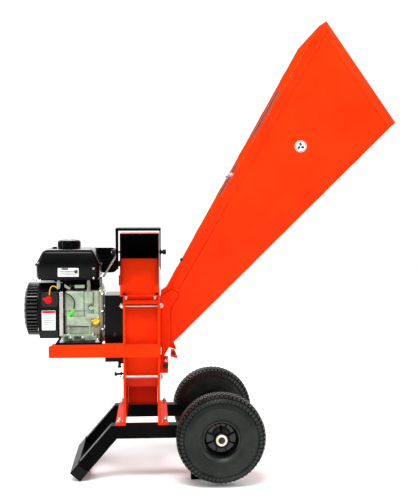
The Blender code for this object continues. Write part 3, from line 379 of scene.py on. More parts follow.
def wire(name, points, radius, mat):
    """A smooth bent wire or hose through the points."""
    curve = bpy.data.curves.new(name, "CURVE")
    curve.dimensions = "3D"
    curve.bevel_depth = radius
    curve.bevel_resolution = 3
    curve.use_fill_caps = True
    spline = curve.splines.new("NURBS")
    spline.points.add(len(points) - 1)
    for target, point in zip(spline.points, points):
        target.co = (*point, 1.0)
    spline.use_endpoint_u = True
    spline.order_u = 4
    spline.resolution_u = 6
    curve.materials.append(MATS[mat])
    piece = bpy.data.objects.new(name, curve)
    bpy.context.collection.objects.link(piece)
    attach(piece, "root")


# ---------------------------------------------------------------- frame and wheels


def dress_frame():
    for node in ("near_frame_rail", "far_frame_rail", "near_leg", "far_leg", "near_rear_foot",
                 "far_rear_foot", "leg_crossbar", "rear_cross_tube"):
        refine(node, "black", 0.0035, segments=3)
    welds = bmesh.new()
    for side in ("near", "far"):
        rail_low, rail_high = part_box(f"{side}_frame_rail")
        foot_low, foot_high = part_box(f"{side}_rear_foot")
        for x in (foot_low.x, foot_high.x):
            add_weld(welds, (x, foot_low.y + 0.004, foot_high.z), (x, foot_high.y - 0.004, foot_high.z),
                     0.0026)
        cross_low, cross_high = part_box("rear_cross_tube")
        y = rail_high.y if side == "near" else rail_low.y
        for z in (cross_low.z, cross_high.z):
            add_weld(welds, (cross_low.x + 0.004, y, z), (cross_high.x - 0.004, y, z), 0.0026)
    for y in (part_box("near_leg")[0].y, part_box("far_leg")[1].y):
        low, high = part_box("leg_crossbar")
        middle = (low + high) / 2
        along = Vector((-math.cos(LEG_LEAN), 0, -math.sin(LEG_LEAN)))
        up = Vector((along.z, 0, -along.x))
        joint = Vector((middle.x, y, middle.z)) - along * LEG_HALF
        inwards = 0.002 if y < 0 else -0.002
        joint.y += inwards
        add_weld(welds, joint + up * 0.017, joint - up * 0.017, 0.0026)
        for shift in (LEG_HALF, -LEG_HALF):
            spot = Vector((middle.x, 0, middle.z)) - along * LEG_HALF + up * shift
            reach = 0.036 if y < 0 else -0.036
            add_weld(welds, (spot.x, y + inwards * 1.5, spot.z), (spot.x, y + reach, spot.z), 0.0024)
    finish_shape("frame_welds", welds, "black")

    ends = bmesh.new()
    low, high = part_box("leg_crossbar")
    middle = (low + high) / 2
    outline = rounded_box_outline((-0.0174, -0.0174), (0.0174, 0.0174), 0.002, 3)
    square = turned_outline(outline, (middle.x, middle.z), LEG_LEAN)
    for y in (low.y - 0.0012, high.y - 0.0030):
        add_prism(ends, square, "Y", y, y + 0.0042)
    for side in ("near", "far"):
        low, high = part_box(f"{side}_frame_rail")
        add_panel(ends, (low.y + 0.002, low.z + 0.002), (high.y - 0.002, high.z - 0.002), 0.004, "X",
                  high.x - 0.001, high.x + 0.003)
    finish_shape("rail_end_caps", ends, "plastic", bevel=0.001)


def dress_feet_bolts():
    """Bolts that hold the rotor housing's feet on the frame rails, nuts under the rails."""
    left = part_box("left_housing_plate")
    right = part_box("right_housing_plate")
    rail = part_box("near_frame_rail")
    heads = bmesh.new()
    ends = bmesh.new()
    foot_top = left[0].z + 0.007
    for x in (left[0].x + 0.0115, right[1].x - 0.0125):
        for y in (left[0].y + 0.022, left[1].y - 0.022):
            top = add_hex_head(heads, (x, y, foot_top), (0, 0, 1), 0.013, 0.0065, washer=0.021, spin=0.3)
            add_thread_end(ends, top, (0, 0, 1), 0.004, 0.005)
            add_dome(ends, (x, y, rail[0].z), (0, 0, -1), 0.0085, 0.0045)
    finish_shape("foot_bolts", heads, "steel", bevel=0.0004)
    finish_shape("foot_bolt_ends", ends, "steel")


def tyre_section(width, bead_r, outer_r):
    """The tyre's section from one bead round to the other, with raised rings on the side walls."""
    half = width / 2 - 0.0012
    crown_r = outer_r - 0.0075
    middle = (bead_r + crown_r) / 2
    rise = (crown_r - bead_r) / 2
    points = []
    for k in range(29):
        turn = math.radians(-84 + 160 * k / 28)
        along = half * (0.54 + 0.46 * max(0.0, math.cos(turn)) ** 0.85)
        ring = 0.0010 if k in (7, 8, 16, 17) else 0.0
        points.append((along + ring, middle + rise * 0.98 * math.sin(turn)))
    crown = [(half * 0.55, crown_r - 0.0004), (half * 0.28, crown_r), (0.0, crown_r + 0.0002)]
    right = [(half * 0.56, bead_r)] + points + crown
    left = [(-along, radius) for along, radius in right[-2::-1]]
    return right + left


TREAD_BLOCKS = 62
FIN_COUNT, POCKET_COUNT = 44, 20  # round the recoil cover


def add_tread(shape, centre, width, outer_r):
    """Rows of small square blocks round the tyre, staggered, with longer blocks over the shoulders."""
    rows = ((0.0, 0.0050, 0.0), (-0.0125, 0.0050, 0.5), (0.0125, 0.0050, 0.5))
    step = 2 * math.pi / TREAD_BLOCKS
    for k in range(TREAD_BLOCKS):
        for along, half, shift in rows:
            turn = spun(centre, step * (k + shift), "Y")
            add_box(shape, (-0.0044, along - half, outer_r - 0.0095), (0.0044, along + half,
                                                                       outer_r - 0.0002), turn)
        for side in (-1, 1):
            turn = spun(centre, step * k, "Y")
            blocks = (
                (width * 0.300, outer_r - 0.0062, 26, 0.0078, 0.0036),
                (width * 0.440, outer_r - 0.0165, 62, 0.0062, 0.0034),
            )
            for along, radius, tip, long_half, high in blocks:
                spot = Matrix.Translation((0, side * along, radius))
                lean = Matrix.Rotation(math.radians(-tip * side), 4, "X")
                add_box(shape, (-0.0043, -long_half, -0.005), (0.0043, long_half, high), turn @ spot @ lean)


def dress_wheels():
    for side, sign in (("near", -1), ("far", 1)):
        body = BODY_OF[f"{side}_tyre"]
        low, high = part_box(f"{side}_tyre")
        centre = (low + high) / 2
        outer_r = (high.z - low.z) / 2
        width = high.y - low.y
        rim_low, rim_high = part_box(f"{side}_rim")
        rim_r = (rim_high.z - rim_low.z) / 2
        shape = bmesh.new()
        add_lathe(shape, tyre_section(width, rim_r + 0.0004, outer_r), (0, 1, 0), centre, 96)
        tyre = finish_shape(f"{side}_tyre_carcass", shape, "rubber", body, angle=50)
        shape = bmesh.new()
        add_tread(shape, centre, width, outer_r)
        finish_shape(f"{side}_tyre_tread", shape, "rubber", body, bevel=0.0007, segments=1)
        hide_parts(f"{side}_tyre")

        # The rim: barrel with rolled edges, dished disc with radial ribs, hub tube and its bushing.
        barrel = rim_r - 0.004
        half = width / 2 * 0.60
        profile = [
            (-half - 0.003, rim_r + 0.0030), (-half, rim_r + 0.0046), (-half + 0.004, rim_r + 0.0022),
            (-half + 0.007, rim_r - 0.001), (half - 0.007, rim_r - 0.001), (half - 0.004, rim_r + 0.0022),
            (half, rim_r + 0.0046), (half + 0.003, rim_r + 0.0030), (half + 0.002, rim_r - 0.001),
            (half - 0.004, barrel), (half - 0.014, barrel - 0.002), (0.006, barrel - 0.005),
            (0.005, 0.040), (0.009, 0.024), (0.012, 0.0205), (-0.012, 0.0205),
            (-0.009, 0.024), (-0.005, 0.040), (-0.006, barrel - 0.005), (-half + 0.014, barrel - 0.002),
            (-half + 0.004, barrel), (-half - 0.002, rim_r - 0.001),
        ]
        shape = bmesh.new()
        add_lathe(shape, profile, (0, 1, 0), centre, 72)
        rim = finish_shape(f"{side}_rim_disc", shape, "rim", body, angle=40)
        shape = bmesh.new()
        for k in range(8):
            turn = spun(centre, math.radians(22.5 + 45 * k), "Y")
            for face in (-1, 1):
                outline = [(0.0195, face * 0.024), (0.046, face * 0.012), (0.046, face * 0.004),
                           (0.0195, face * 0.004)]
                add_slab(shape, *([turn @ Vector((x, y, r)) for r, y in outline] for x in (-0.0012, 0.0012)))
        add_lathe(shape, [(-0.037, 0.0185), (-0.0375, 0.0195), (-0.036, 0.0208), (0.036, 0.0208),
                          (0.0375, 0.0195), (0.037, 0.0185)], (0, 1, 0), centre, 48)
        finish_shape(f"{side}_rim_ribs", shape, "rim", body, bevel=0.0005, segments=1)
        shape = bmesh.new()
        profile = [(-0.0385, 0.0100), (-0.0395, 0.0116), (-0.0395, 0.0160), (-0.0380, 0.0170),
                   (0.0380, 0.0170), (0.0395, 0.0160), (0.0395, 0.0116), (0.0385, 0.0100)]
        add_lathe(shape, profile, (0, 1, 0), centre, 48)
        finish_shape(f"{side}_hub_bushing", shape, "cream", body, angle=30)
        shape = bmesh.new()
        add_turned(shape, [(0, 0.0112), (0.0012, 0.0112), (0.0018, 0.0100)], (0, sign, 0),
                   Vector(centre) + Vector((0, sign * 0.0372, 0)), 36)
        finish_shape(f"{side}_axle_cap", shape, "iron", body)
        shape = bmesh.new()
        stem = Vector(centre) + Vector((0.0, sign * 0.010, 0.034))
        tilt = Vector((0.0, sign * 0.85, -0.35))
        profile = [(0, 0), (0, 0.0042), (0.010, 0.0030), (0.020, 0.0028), (0.021, 0.0038), (0.030, 0.0036),
                   (0.031, 0.0028), (0.031, 0)]
        add_lathe(shape, profile, tilt, stem, 16)
        finish_shape(f"{side}_valve_stem", shape, "plastic", body)
        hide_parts(f"{side}_rim")
    refine("axle", "iron", 0.0010)


# ---------------------------------------------------------------- rotor housing, rotor and drive


def dress_housing():
    for node in ("left_housing_plate", "right_housing_plate"):
        refine(node, "orange", 0.0014)
    for node in ("near_wrapper", "far_wrapper"):
        refine(node, "orange", 0.0008)
    nuts = bmesh.new()
    ends = bmesh.new()
    rods = bmesh.new()
    for node in ("near_lower_tie_rod", "near_upper_tie_rod", "far_upper_tie_rod"):
        low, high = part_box(node)
        y, z = (low.y + high.y) / 2, (low.z + high.z) / 2
        left_face = low.x + TIE_ROD_STUB
        right_face = high.x - TIE_ROD_STUB
        profile = [(0, TIE_ROD_R), (right_face - left_face, TIE_ROD_R)]
        add_turned(rods, profile, (1, 0, 0), (left_face, y, z), 20)
        for x, way in ((left_face, -1), (right_face, 1)):
            top = add_hex_head(nuts, (x, y, z), (way, 0, 0), 0.0138, 0.0065, washer=0.0160, spin=0.2)
            add_thread_end(ends, top, (way, 0, 0), 0.0038, 0.0028)
    finish_shape("tie_rod_nuts", nuts, "steel", bevel=0.0004)
    finish_shape("tie_rod_threads", ends, "steel")
    rod_piece = finish_shape("tie_rod_bars", rods, "tool_steel")
    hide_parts("near_lower_tie_rod", "near_upper_tie_rod", "far_upper_tie_rod")

    # Welds where the side plates stand on their feet, and where the wrappers meet the plates inside.
    beads = bmesh.new()
    for node, outer in (("left_housing_plate", -1), ("right_housing_plate", 1)):
        low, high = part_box(node)
        x = HOUSING_X + outer * PLATE_OUT
        z = low.z + 0.0072
        for y in (low.y + 0.004, high.y - 0.060):
            add_weld(beads, (x, y, z), (x, y + 0.055, z), 0.0028)
        add_weld(beads, (x, -0.028, z), (x, 0.028, z), 0.0028)
    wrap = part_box("near_wrapper")
    for x in (wrap[0].x + 0.001, wrap[1].x - 0.001):
        for z in (0.345, 0.415, 0.485):
            add_weld(beads, (x, wrap[0].y + 0.0255, z), (x, wrap[0].y + 0.0255, z + 0.028), 0.0022)
    finish_shape("housing_welds", beads, "weld")

    # Small fixings at the left plate: a peg that hangs down, a clamp screw and a clip on the chute's side.
    bits = bmesh.new()
    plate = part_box("left_housing_plate")
    plate_x = plate[0].x + 0.024
    y = plate[0].y + 0.012
    add_lathe(bits, [(0, 0), (0, 0.0046), (0.013, 0.0046), (0.014, 0.0058), (0.019, 0.0058), (0.020, 0)],
              (0, 0, -1), (plate_x - 0.0115, y, 0.3665), 18)
    add_box(bits, (plate_x - 0.0115, y - 0.003, 0.360), (plate_x + 0.001, y + 0.003, 0.3655))
    add_turned(bits, [(0, 0.0036), (0.004, 0.0036), (0.005, 0.0070), (0.009, 0.0070), (0.010, 0.0036),
                      (0.019, 0.0036), (0.021, 0.0056), (0.025, 0.0062), (0.028, 0.0044)], (-1, 0, -0.06),
               (plate_x + 0.0005, y, 0.3290), 18)
    add_box(bits, (plate_x - 0.0270, y - 0.004, 0.3225), (plate_x - 0.0225, y + 0.004, 0.3345))
    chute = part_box("discharge_chute")[0]
    add_box(bits, (chute.x - 0.0052, -0.110, 0.5955), (chute.x - 0.0002, -0.094, 0.6270))
    finish_shape("plate_pegs", bits, "plastic", bevel=0.0006)


def dress_rotor():
    for node in ("rotor_disc", "first_chipper_knife", "second_chipper_knife", "rotor_shaft", "rotor_pulley",
                 "engine_pulley", "crankshaft", "anvil_knife"):
        refine(node, "tool_steel", 0.0006)
    for node in ("left_bearing", "right_bearing"):
        refine(node, "iron", 0.0012)
    refine("drive_belt", "flap", 0.0008)
    screws = bmesh.new()
    for node in ("first_chipper_knife", "second_chipper_knife"):
        low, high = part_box(node)
        y = (low.y + high.y) / 2
        for z in (low.z + 0.016, (low.z + high.z) / 2, high.z - 0.016):
            add_dome(screws, (high.x - 0.0002, y + 0.004, z), (1, 0, 0), 0.0048, 0.0008, 14)
    finish_shape("knife_screws", screws, "steel", BODY_OF["rotor_disc"])


def dress_guard():
    refine("belt_guard", "plastic", 0.007, segments=4)
    low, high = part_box("belt_guard")
    bits = bmesh.new()
    for y, way in ((low.y, -1), (high.y, 1)):
        add_hex_head(bits, ((low.x + high.x) / 2 + 0.001, y, 0.4375), (0, way, 0), 0.008, 0.004, washer=0.012)
    finish_shape("guard_bolts", bits, "iron", bevel=0.0004)
    # A pressed rib along the guard's outer face, and its weld flanges against the housing plate.
    ribs = bmesh.new()
    outline = rounded_box_outline((low.y + 0.020, low.z + 0.022), (high.y - 0.020, high.z - 0.075), 0.014)
    add_prism(ribs, outline, "X", low.x - 0.0016, low.x + 0.001)
    for y in (low.y - 0.0085, high.y - 0.002):
        add_box(ribs, (high.x - 0.0022, y, low.z + 0.012), (high.x, y + 0.0105, high.z - 0.012))
    finish_shape("guard_flanges", ribs, "black", bevel=0.0007)


# ---------------------------------------------------------------- hopper


def hopper_half_width(x, z):
    """Half the hopper's width at a point of its side, measured back from the mouth."""
    depth = max(0.0, (MOUTH_TOP - Vector((x, 0, z))).dot(MOUTH_WAY))
    return MOUTH_HALF_WIDTH - HOPPER_TAPER * depth


def on_side(spot, sign, lift):
    """A point of the hopper's side view, put on its near (-1) or far (1) panel and lifted off it."""
    return Vector((spot.x, sign * (hopper_half_width(spot.x, spot.z) + lift), spot.z))


def add_side_plate(shape, sign, points, low, high):
    """A thin plate on the hopper's side panel, between two heights above it."""
    add_slab(shape, *([on_side(point, sign, lift) for point in points] for lift in (low, high)))


def add_stitches(shape, sign, start, way, first, last, pitch, bead, lift, radius):
    """A row of short weld beads along a line of the hopper's side."""
    at = first
    while at < last:
        ends = [on_side(start + way * (at + step), sign, lift) for step in (0.0, bead)]
        add_weld(shape, ends[0], ends[1], radius)
        at += pitch


def on_top_panel(middle, slope, normal):
    """A place on the hopper's sloping top panel, x down its slope and z out of it."""
    turn = Matrix(((slope.x, 0, normal.x, 0), (0, 1, 0, 0), (slope.z, 0, normal.z, 0), (0, 0, 0, 1)))
    return Matrix.Translation(middle) @ turn


def dress_hopper():
    for node in ("near_hopper_panel", "far_hopper_panel", "bottom_hopper_panel"):
        refine(node, "orange", 0.0010)
    refine("top_hopper_panel", "orange_matt", 0.0010)
    refine("throat_flange", "orange", 0.0008)
    refine("hopper_hinge_pin", "steel", 0.0008)
    refine("feed_flap", "flap", 0.0012)
    body = BODY_OF["near_hopper_panel"]
    throat, top, low = THROAT, MOUTH_TOP, MOUTH_LOW
    slope = (top - throat).normalized()
    across = Vector((slope.z, 0, -slope.x))
    run = (top - throat).length
    inward = MOUTH_WAY * -1

    # Dark strips under the doubled strip's lower edge and along the mouth's fold: painted shade of the slits
    # there.
    shade_strips = bmesh.new()
    spans = (
        (throat + slope * 0.062 + across * 0.0278, top - slope * 0.004 + across * 0.0278, across * 0.0011),
        (low + MOUTH_EDGE * 0.004 + inward * 0.0030, top - MOUTH_EDGE * 0.030 + inward * 0.0030,
         inward * 0.0009),
    )
    for sign in (-1, 1):
        for start, end, wide in spans:
            corners = (start, end, end + wide, start + wide)
            add_side_plate(shade_strips, sign, corners, -0.0003, 0.0004)
    finish_shape("panel_fold_painted_shade", shade_strips, "orange_shade", body)

    # Stitch welds down the doubled strips, and along the panels' corners.
    beads = bmesh.new()
    floor_run = (low - HOPPER_FOOT).length
    away = (low - HOPPER_FOOT).normalized()
    for sign in (-1, 1):
        add_stitches(beads, sign, throat + across * 0.0272, slope, 0.070, run - 0.05, 0.118, 0.016, 0.0006,
                     0.0028)
        add_stitches(beads, sign, throat, slope, 0.080, run - 0.03, 0.150, 0.034, -0.0036, 0.0011)
        add_stitches(beads, sign, HOPPER_FOOT, away, 0.040, floor_run - 0.05, 0.150, 0.034, -0.0036, 0.0011)
    for y in (-0.062, -0.02, 0.03):
        add_weld(beads, (-0.1395, y, 0.5415), (-0.1395, y + 0.030, 0.5415), 0.0022)
    finish_shape("hopper_welds", beads, "weld", body)

    # The row of five bolts that holds the feed flap under the top panel.
    bolts = bmesh.new()
    nuts = bmesh.new()
    normal = Vector((-slope.z, 0, slope.x))
    hang = Vector((0.0846, 0, 0.0))
    hang.z = throat.z + (hang.x - throat.x) * slope.z / slope.x
    for k in range(5):
        y = -0.106 + 0.053 * k
        point = Vector((hang.x, y, hang.z))
        tip = add_hex_head(bolts, point, normal, 0.0085, 0.0045, washer=0.013, spin=0.2 * k)
        add_thread_end(bolts, tip, normal, 0.0026, 0.0042)
        add_hex_head(nuts, point - normal * 0.0062, -normal, 0.0085, 0.0035)
    finish_shape("flap_bolts", bolts, "steel", body, bevel=0.0002, segments=1)
    finish_shape("flap_nuts", nuts, "steel", body)

    # The angle strip and hinge rod that the flap hangs on, inside.
    hanger = bmesh.new()
    inner = Vector((hang.x, 0, hang.z)) - normal * 0.0033
    add_box(hanger, (-0.014, -0.118, -0.0025), (0.014, 0.118, 0.0), on_top_panel(inner, slope, normal))
    flap = JOINTS["flap_swing"]["pos_m"]
    add_box(hanger, (flap[0] - 0.0078, -0.103, flap[2] + 0.001), (flap[0] - 0.0050, 0.103, flap[2] + 0.040))
    finish_shape("flap_hanger", hanger, "black", body, bevel=0.0006)

    # A round badge without lettering on the near side.
    spot = Vector((0.2837, 0, 1.0205))
    half = hopper_half_width(spot.x, spot.z)
    face = Vector((-MOUTH_WAY.x * HOPPER_TAPER, -1, -MOUTH_WAY.z * HOPPER_TAPER)).normalized()
    centre = Vector((spot.x, -half - 0.0002, spot.z))
    badge = bmesh.new()
    add_turned(badge, [(0, 0.0178), (0.0004, 0.0178), (0.0005, 0.0174)], face, centre, 48)
    finish_shape("round_badge", badge, "white", body, angle=30)
    ring = bmesh.new()
    add_lathe(ring, [(0.0004, 0.0150), (0.0004, 0.0166), (0.0008, 0.0166), (0.0008, 0.0150)], face, centre,
              48)
    quat = face.to_track_quat("Z", "Y").to_matrix().to_4x4()
    for k in range(3):
        turn = Matrix.Translation(centre) @ quat @ Matrix.Rotation(math.radians(120 * k + 20), 4, "Z")
        add_box(ring, (-0.0016, 0.0020, 0.0004), (0.0052, 0.0112, 0.0008), turn)
    finish_shape("badge_print", ring, "grey_print", body)

    # Plain panels where the top sheet carries its markings.
    print_shape = bmesh.new()
    for start, end, half_y in ((0.62, 0.80, 0.060), (0.40, 0.52, 0.050)):
        middle = throat + slope * (run * (start + end) / 2) + normal * 0.0002
        size = run * (end - start) / 2
        turn = on_top_panel(middle, slope, normal)
        add_box(print_shape, (-size, -half_y, 0), (size, half_y, 0.0004), turn)
    finish_shape("top_panel_decals", print_shape, "flap", body, bevel=0.0002)


def dress_hopper_brackets():
    """The folded stiffeners and catch brackets at the hopper's foot."""
    body = BODY_OF["near_hopper_panel"]
    for name, sign in (("near", -1), ("far", 1)):
        plate = bmesh.new()
        outline = [(-0.1385, 0.560), (-0.105, 0.5815), (-0.0842, 0.5674), (-0.0848, 0.5599),
                   (-0.1092, 0.5216), (-0.1095, 0.4032), (-0.1385, 0.372)]
        points = [Vector((x, 0, z)) for x, z in outline]
        add_side_plate(plate, sign, points, 0.0004, 0.0038)
        finish_shape(f"{name}_throat_gusset", plate, "orange", body, bevel=0.0006)
        # Dark strips round the gusset's edges: painted shade where it meets the panel.
        shade_strip = bmesh.new()
        for start, end in zip(points[:5], points[1:6]):
            along = (end - start).normalized()
            out = Vector((along.z, 0, -along.x)) * -0.0013
            corners = (start, end, end + out, start + out)
            add_side_plate(shade_strip, sign, corners, 0.0002, 0.0006)
        finish_shape(f"{name}_gusset_painted_shade", shade_strip, "orange_shade", body)
    bits = bmesh.new()
    spot = Vector((-0.077, 0, 0.676))
    half = hopper_half_width(spot.x, spot.z)
    tip = add_hex_head(bits, (spot.x + 0.002, -half, spot.z - 0.002), (0, -1, 0), 0.008, 0.004, washer=0.011)
    add_thread_end(bits, tip, (0, -1, 0), 0.0025, 0.003)
    # Folded corner brackets under the panel's foot, each with its bolt.
    corner = bmesh.new()
    for sign in (-1, 1):
        outline = [(-0.1095, 0.3935), (-0.0980, 0.3935), (-0.0885, 0.3700), (-0.0885, 0.3630),
                   (-0.1110, 0.3700)]
        near_y, far_y = sorted((sign * 0.0860, sign * 0.0895))
        add_prism(corner, outline, "Y", near_y, far_y)
        tip = add_hex_head(bits, (-0.1000, sign * 0.0896, 0.3815), (0, sign, 0), 0.0085, 0.004, washer=0.012)
        add_thread_end(bits, tip, (0, sign, 0), 0.003, 0.003)
    finish_shape("foot_corner_brackets", corner, "orange", body, bevel=0.0006)
    finish_shape("foot_bracket_bolts", bits, "iron", body, bevel=0.0003)
    bits = bmesh.new()
    pin = JOINTS["hopper_tilt"]["pos_m"]
    for sign in (-1, 1):
        add_hex_head(bits, (pin[0], sign * 0.0662, pin[2]), (0, sign, 0), 0.013, 0.006, washer=0.0175)
    finish_shape("hopper_bolts", bits, "iron", bevel=0.0003)


# ---------------------------------------------------------------- chute and hood


def dress_chute():
    refine("discharge_chute", "orange", 0.0014)
    refine("deflector_hood", "black", 0.0022, segments=3)
    low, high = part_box("discharge_chute")
    plate_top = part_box("left_housing_plate")[1].z
    flange_y = low.y + 0.0085
    heads = bmesh.new()
    nuts = bmesh.new()
    for x in (low.x + 0.0125, high.x - 0.0070):
        add_dome(heads, (x, flange_y, plate_top + 0.0029), (0, 0, 1), 0.0056, 0.0085)
    for x in (low.x + 0.0190, high.x - 0.0130):
        tip = add_hex_head(nuts, (x, flange_y, plate_top + 0.0002), (0, 0, -1), 0.0092, 0.0058, washer=0.012)
        add_thread_end(nuts, tip, (0, 0, -1), 0.003, 0.003)
    finish_shape("chute_bolt_heads", heads, "plastic")
    finish_shape("chute_nuts", nuts, "steel", bevel=0.0003)
    # Dark sheets just inside the chute's back wall, roof and sides: painted shade for its shadowed inside.
    inside_shade = bmesh.new()
    skin = 0.0012
    inner_low = Vector((low.x + 0.0030, low.y + 0.0300, plate_top + 0.035))
    inner_high = Vector((high.x - 0.0030, high.y - 0.0030, high.z - 0.0030))
    add_box(inside_shade, (inner_low.x, inner_high.y - skin, inner_low.z), inner_high)
    add_box(inside_shade, (inner_low.x, low.y + 0.0040, inner_high.z - skin), inner_high)
    for x in (inner_low.x, inner_high.x - skin):
        add_box(inside_shade, (x, low.y + 0.0040, inner_low.z), (x + skin, inner_high.y, inner_high.z))
    finish_shape("chute_painted_shade_skin", inside_shade, "flap")
    beads = bmesh.new()
    for x in (low.x + 0.018, high.x - 0.046):
        add_weld(beads, (x, -0.158, plate_top + 0.0032), (x + 0.028, -0.158, plate_top + 0.0032), 0.0018)
    finish_shape("chute_welds", beads, "weld")

    # Folded front edges of the hood.
    hood_low, hood_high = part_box("deflector_hood")
    front = hood_low.y
    edges = bmesh.new()
    add_box(edges, (hood_low.x, front - 0.0001, hood_low.z + 0.001), (hood_low.x + 0.0080, front + 0.0022,
                                                                      hood_high.z))
    add_box(edges, (hood_high.x - 0.0042, front - 0.0001, hood_low.z + 0.008),
            (hood_high.x, front + 0.0022, hood_high.z))
    add_box(edges, (hood_low.x, front - 0.0001, hood_high.z - 0.0072), (hood_high.x, front + 0.0022,
                                                                        hood_high.z))
    finish_shape("hood_front_edges", edges, "black", BODY_OF["deflector_hood"], bevel=0.0007)

    # Clamp knobs: lobed grips on bolts through the hood.
    for side, sign in (("left", -1), ("right", 1)):
        node = f"{side}_deflector_knob"
        low_k, high_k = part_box(node)
        middle = (low_k + high_k) / 2
        hood_face = HOOD_X + sign * HOOD_OUT
        start = Vector((hood_face + sign * 0.0006, middle.y, middle.z))
        shape = bmesh.new()
        add_turned(shape, [(0, 0.0088), (0.0016, 0.0088), (0.0016, 0.0050), (0.006, 0.0050)], (sign, 0, 0),
                   start, 24)
        grip = []
        for k in range(36):
            turn = math.radians(10 * k)
            radius = 0.0074 + 0.0012 * math.cos(6 * turn)
            grip.append((middle.y + radius * math.cos(turn), middle.z + radius * math.sin(turn)))
        ends = sorted((start.x + sign * 0.006, start.x + sign * 0.0165))
        add_prism(shape, grip, "X", *ends)
        knob = finish_shape(node + "_finished", shape, "plastic", BODY_OF[node], bevel=0.0008, angle=50)
        bolt = bmesh.new()
        wall = low.x if sign < 0 else high.x
        add_lathe(bolt, [(0, 0), (0, 0.0038), (abs(start.x - wall) - 0.0002, 0.0038),
                         (abs(start.x - wall), 0)], (sign, 0, 0), (wall + sign * 0.0004, middle.y, middle.z),
                  18)
        add_turned(bolt, [(0, 0.0030), (0.0015, 0.0024)], (sign, 0, 0), (start.x + sign * 0.0165, middle.y,
                                                                         middle.z), 16)
        finish_shape(node + "_bolt", bolt, "steel", BODY_OF[node])
        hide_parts(node)


# ---------------------------------------------------------------- deck and engine


def dress_deck():
    for node in ("near_deck_rail", "far_deck_rail"):
        refine(node, "orange", 0.0012)
    refine("engine_mount_plate", "black", 0.0010)
    low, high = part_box("near_deck_rail")
    steel = bmesh.new()
    caps = bmesh.new()
    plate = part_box("engine_mount_plate")
    for x in (plate[0].x + 0.018, plate[1].x - 0.014):
        for y in (plate[0].y + 0.014, plate[1].y - 0.014):
            tip = add_hex_head(steel, (x, y, plate[1].z), (0, 0, 1), 0.011, 0.0055, washer=0.018, spin=0.4)
            add_thread_end(steel, tip, (0, 0, 1), 0.0036, 0.004)
            add_hex_head(steel, (x, y, low.z + 0.0348), (0, 0, -1), 0.011, 0.005, washer=0.018)
    finish_shape("deck_bolts", steel, "steel", bevel=0.0003)
    for y in (low.y, high.y - 0.032):
        add_panel(caps, (y + 0.003, low.z + 0.004), (y + 0.029, high.z - 0.006), 0.003, "X", low.x - 0.0012,
                  low.x + 0.002)
    finish_shape("deck_end_caps", caps, "plastic", bevel=0.0005)


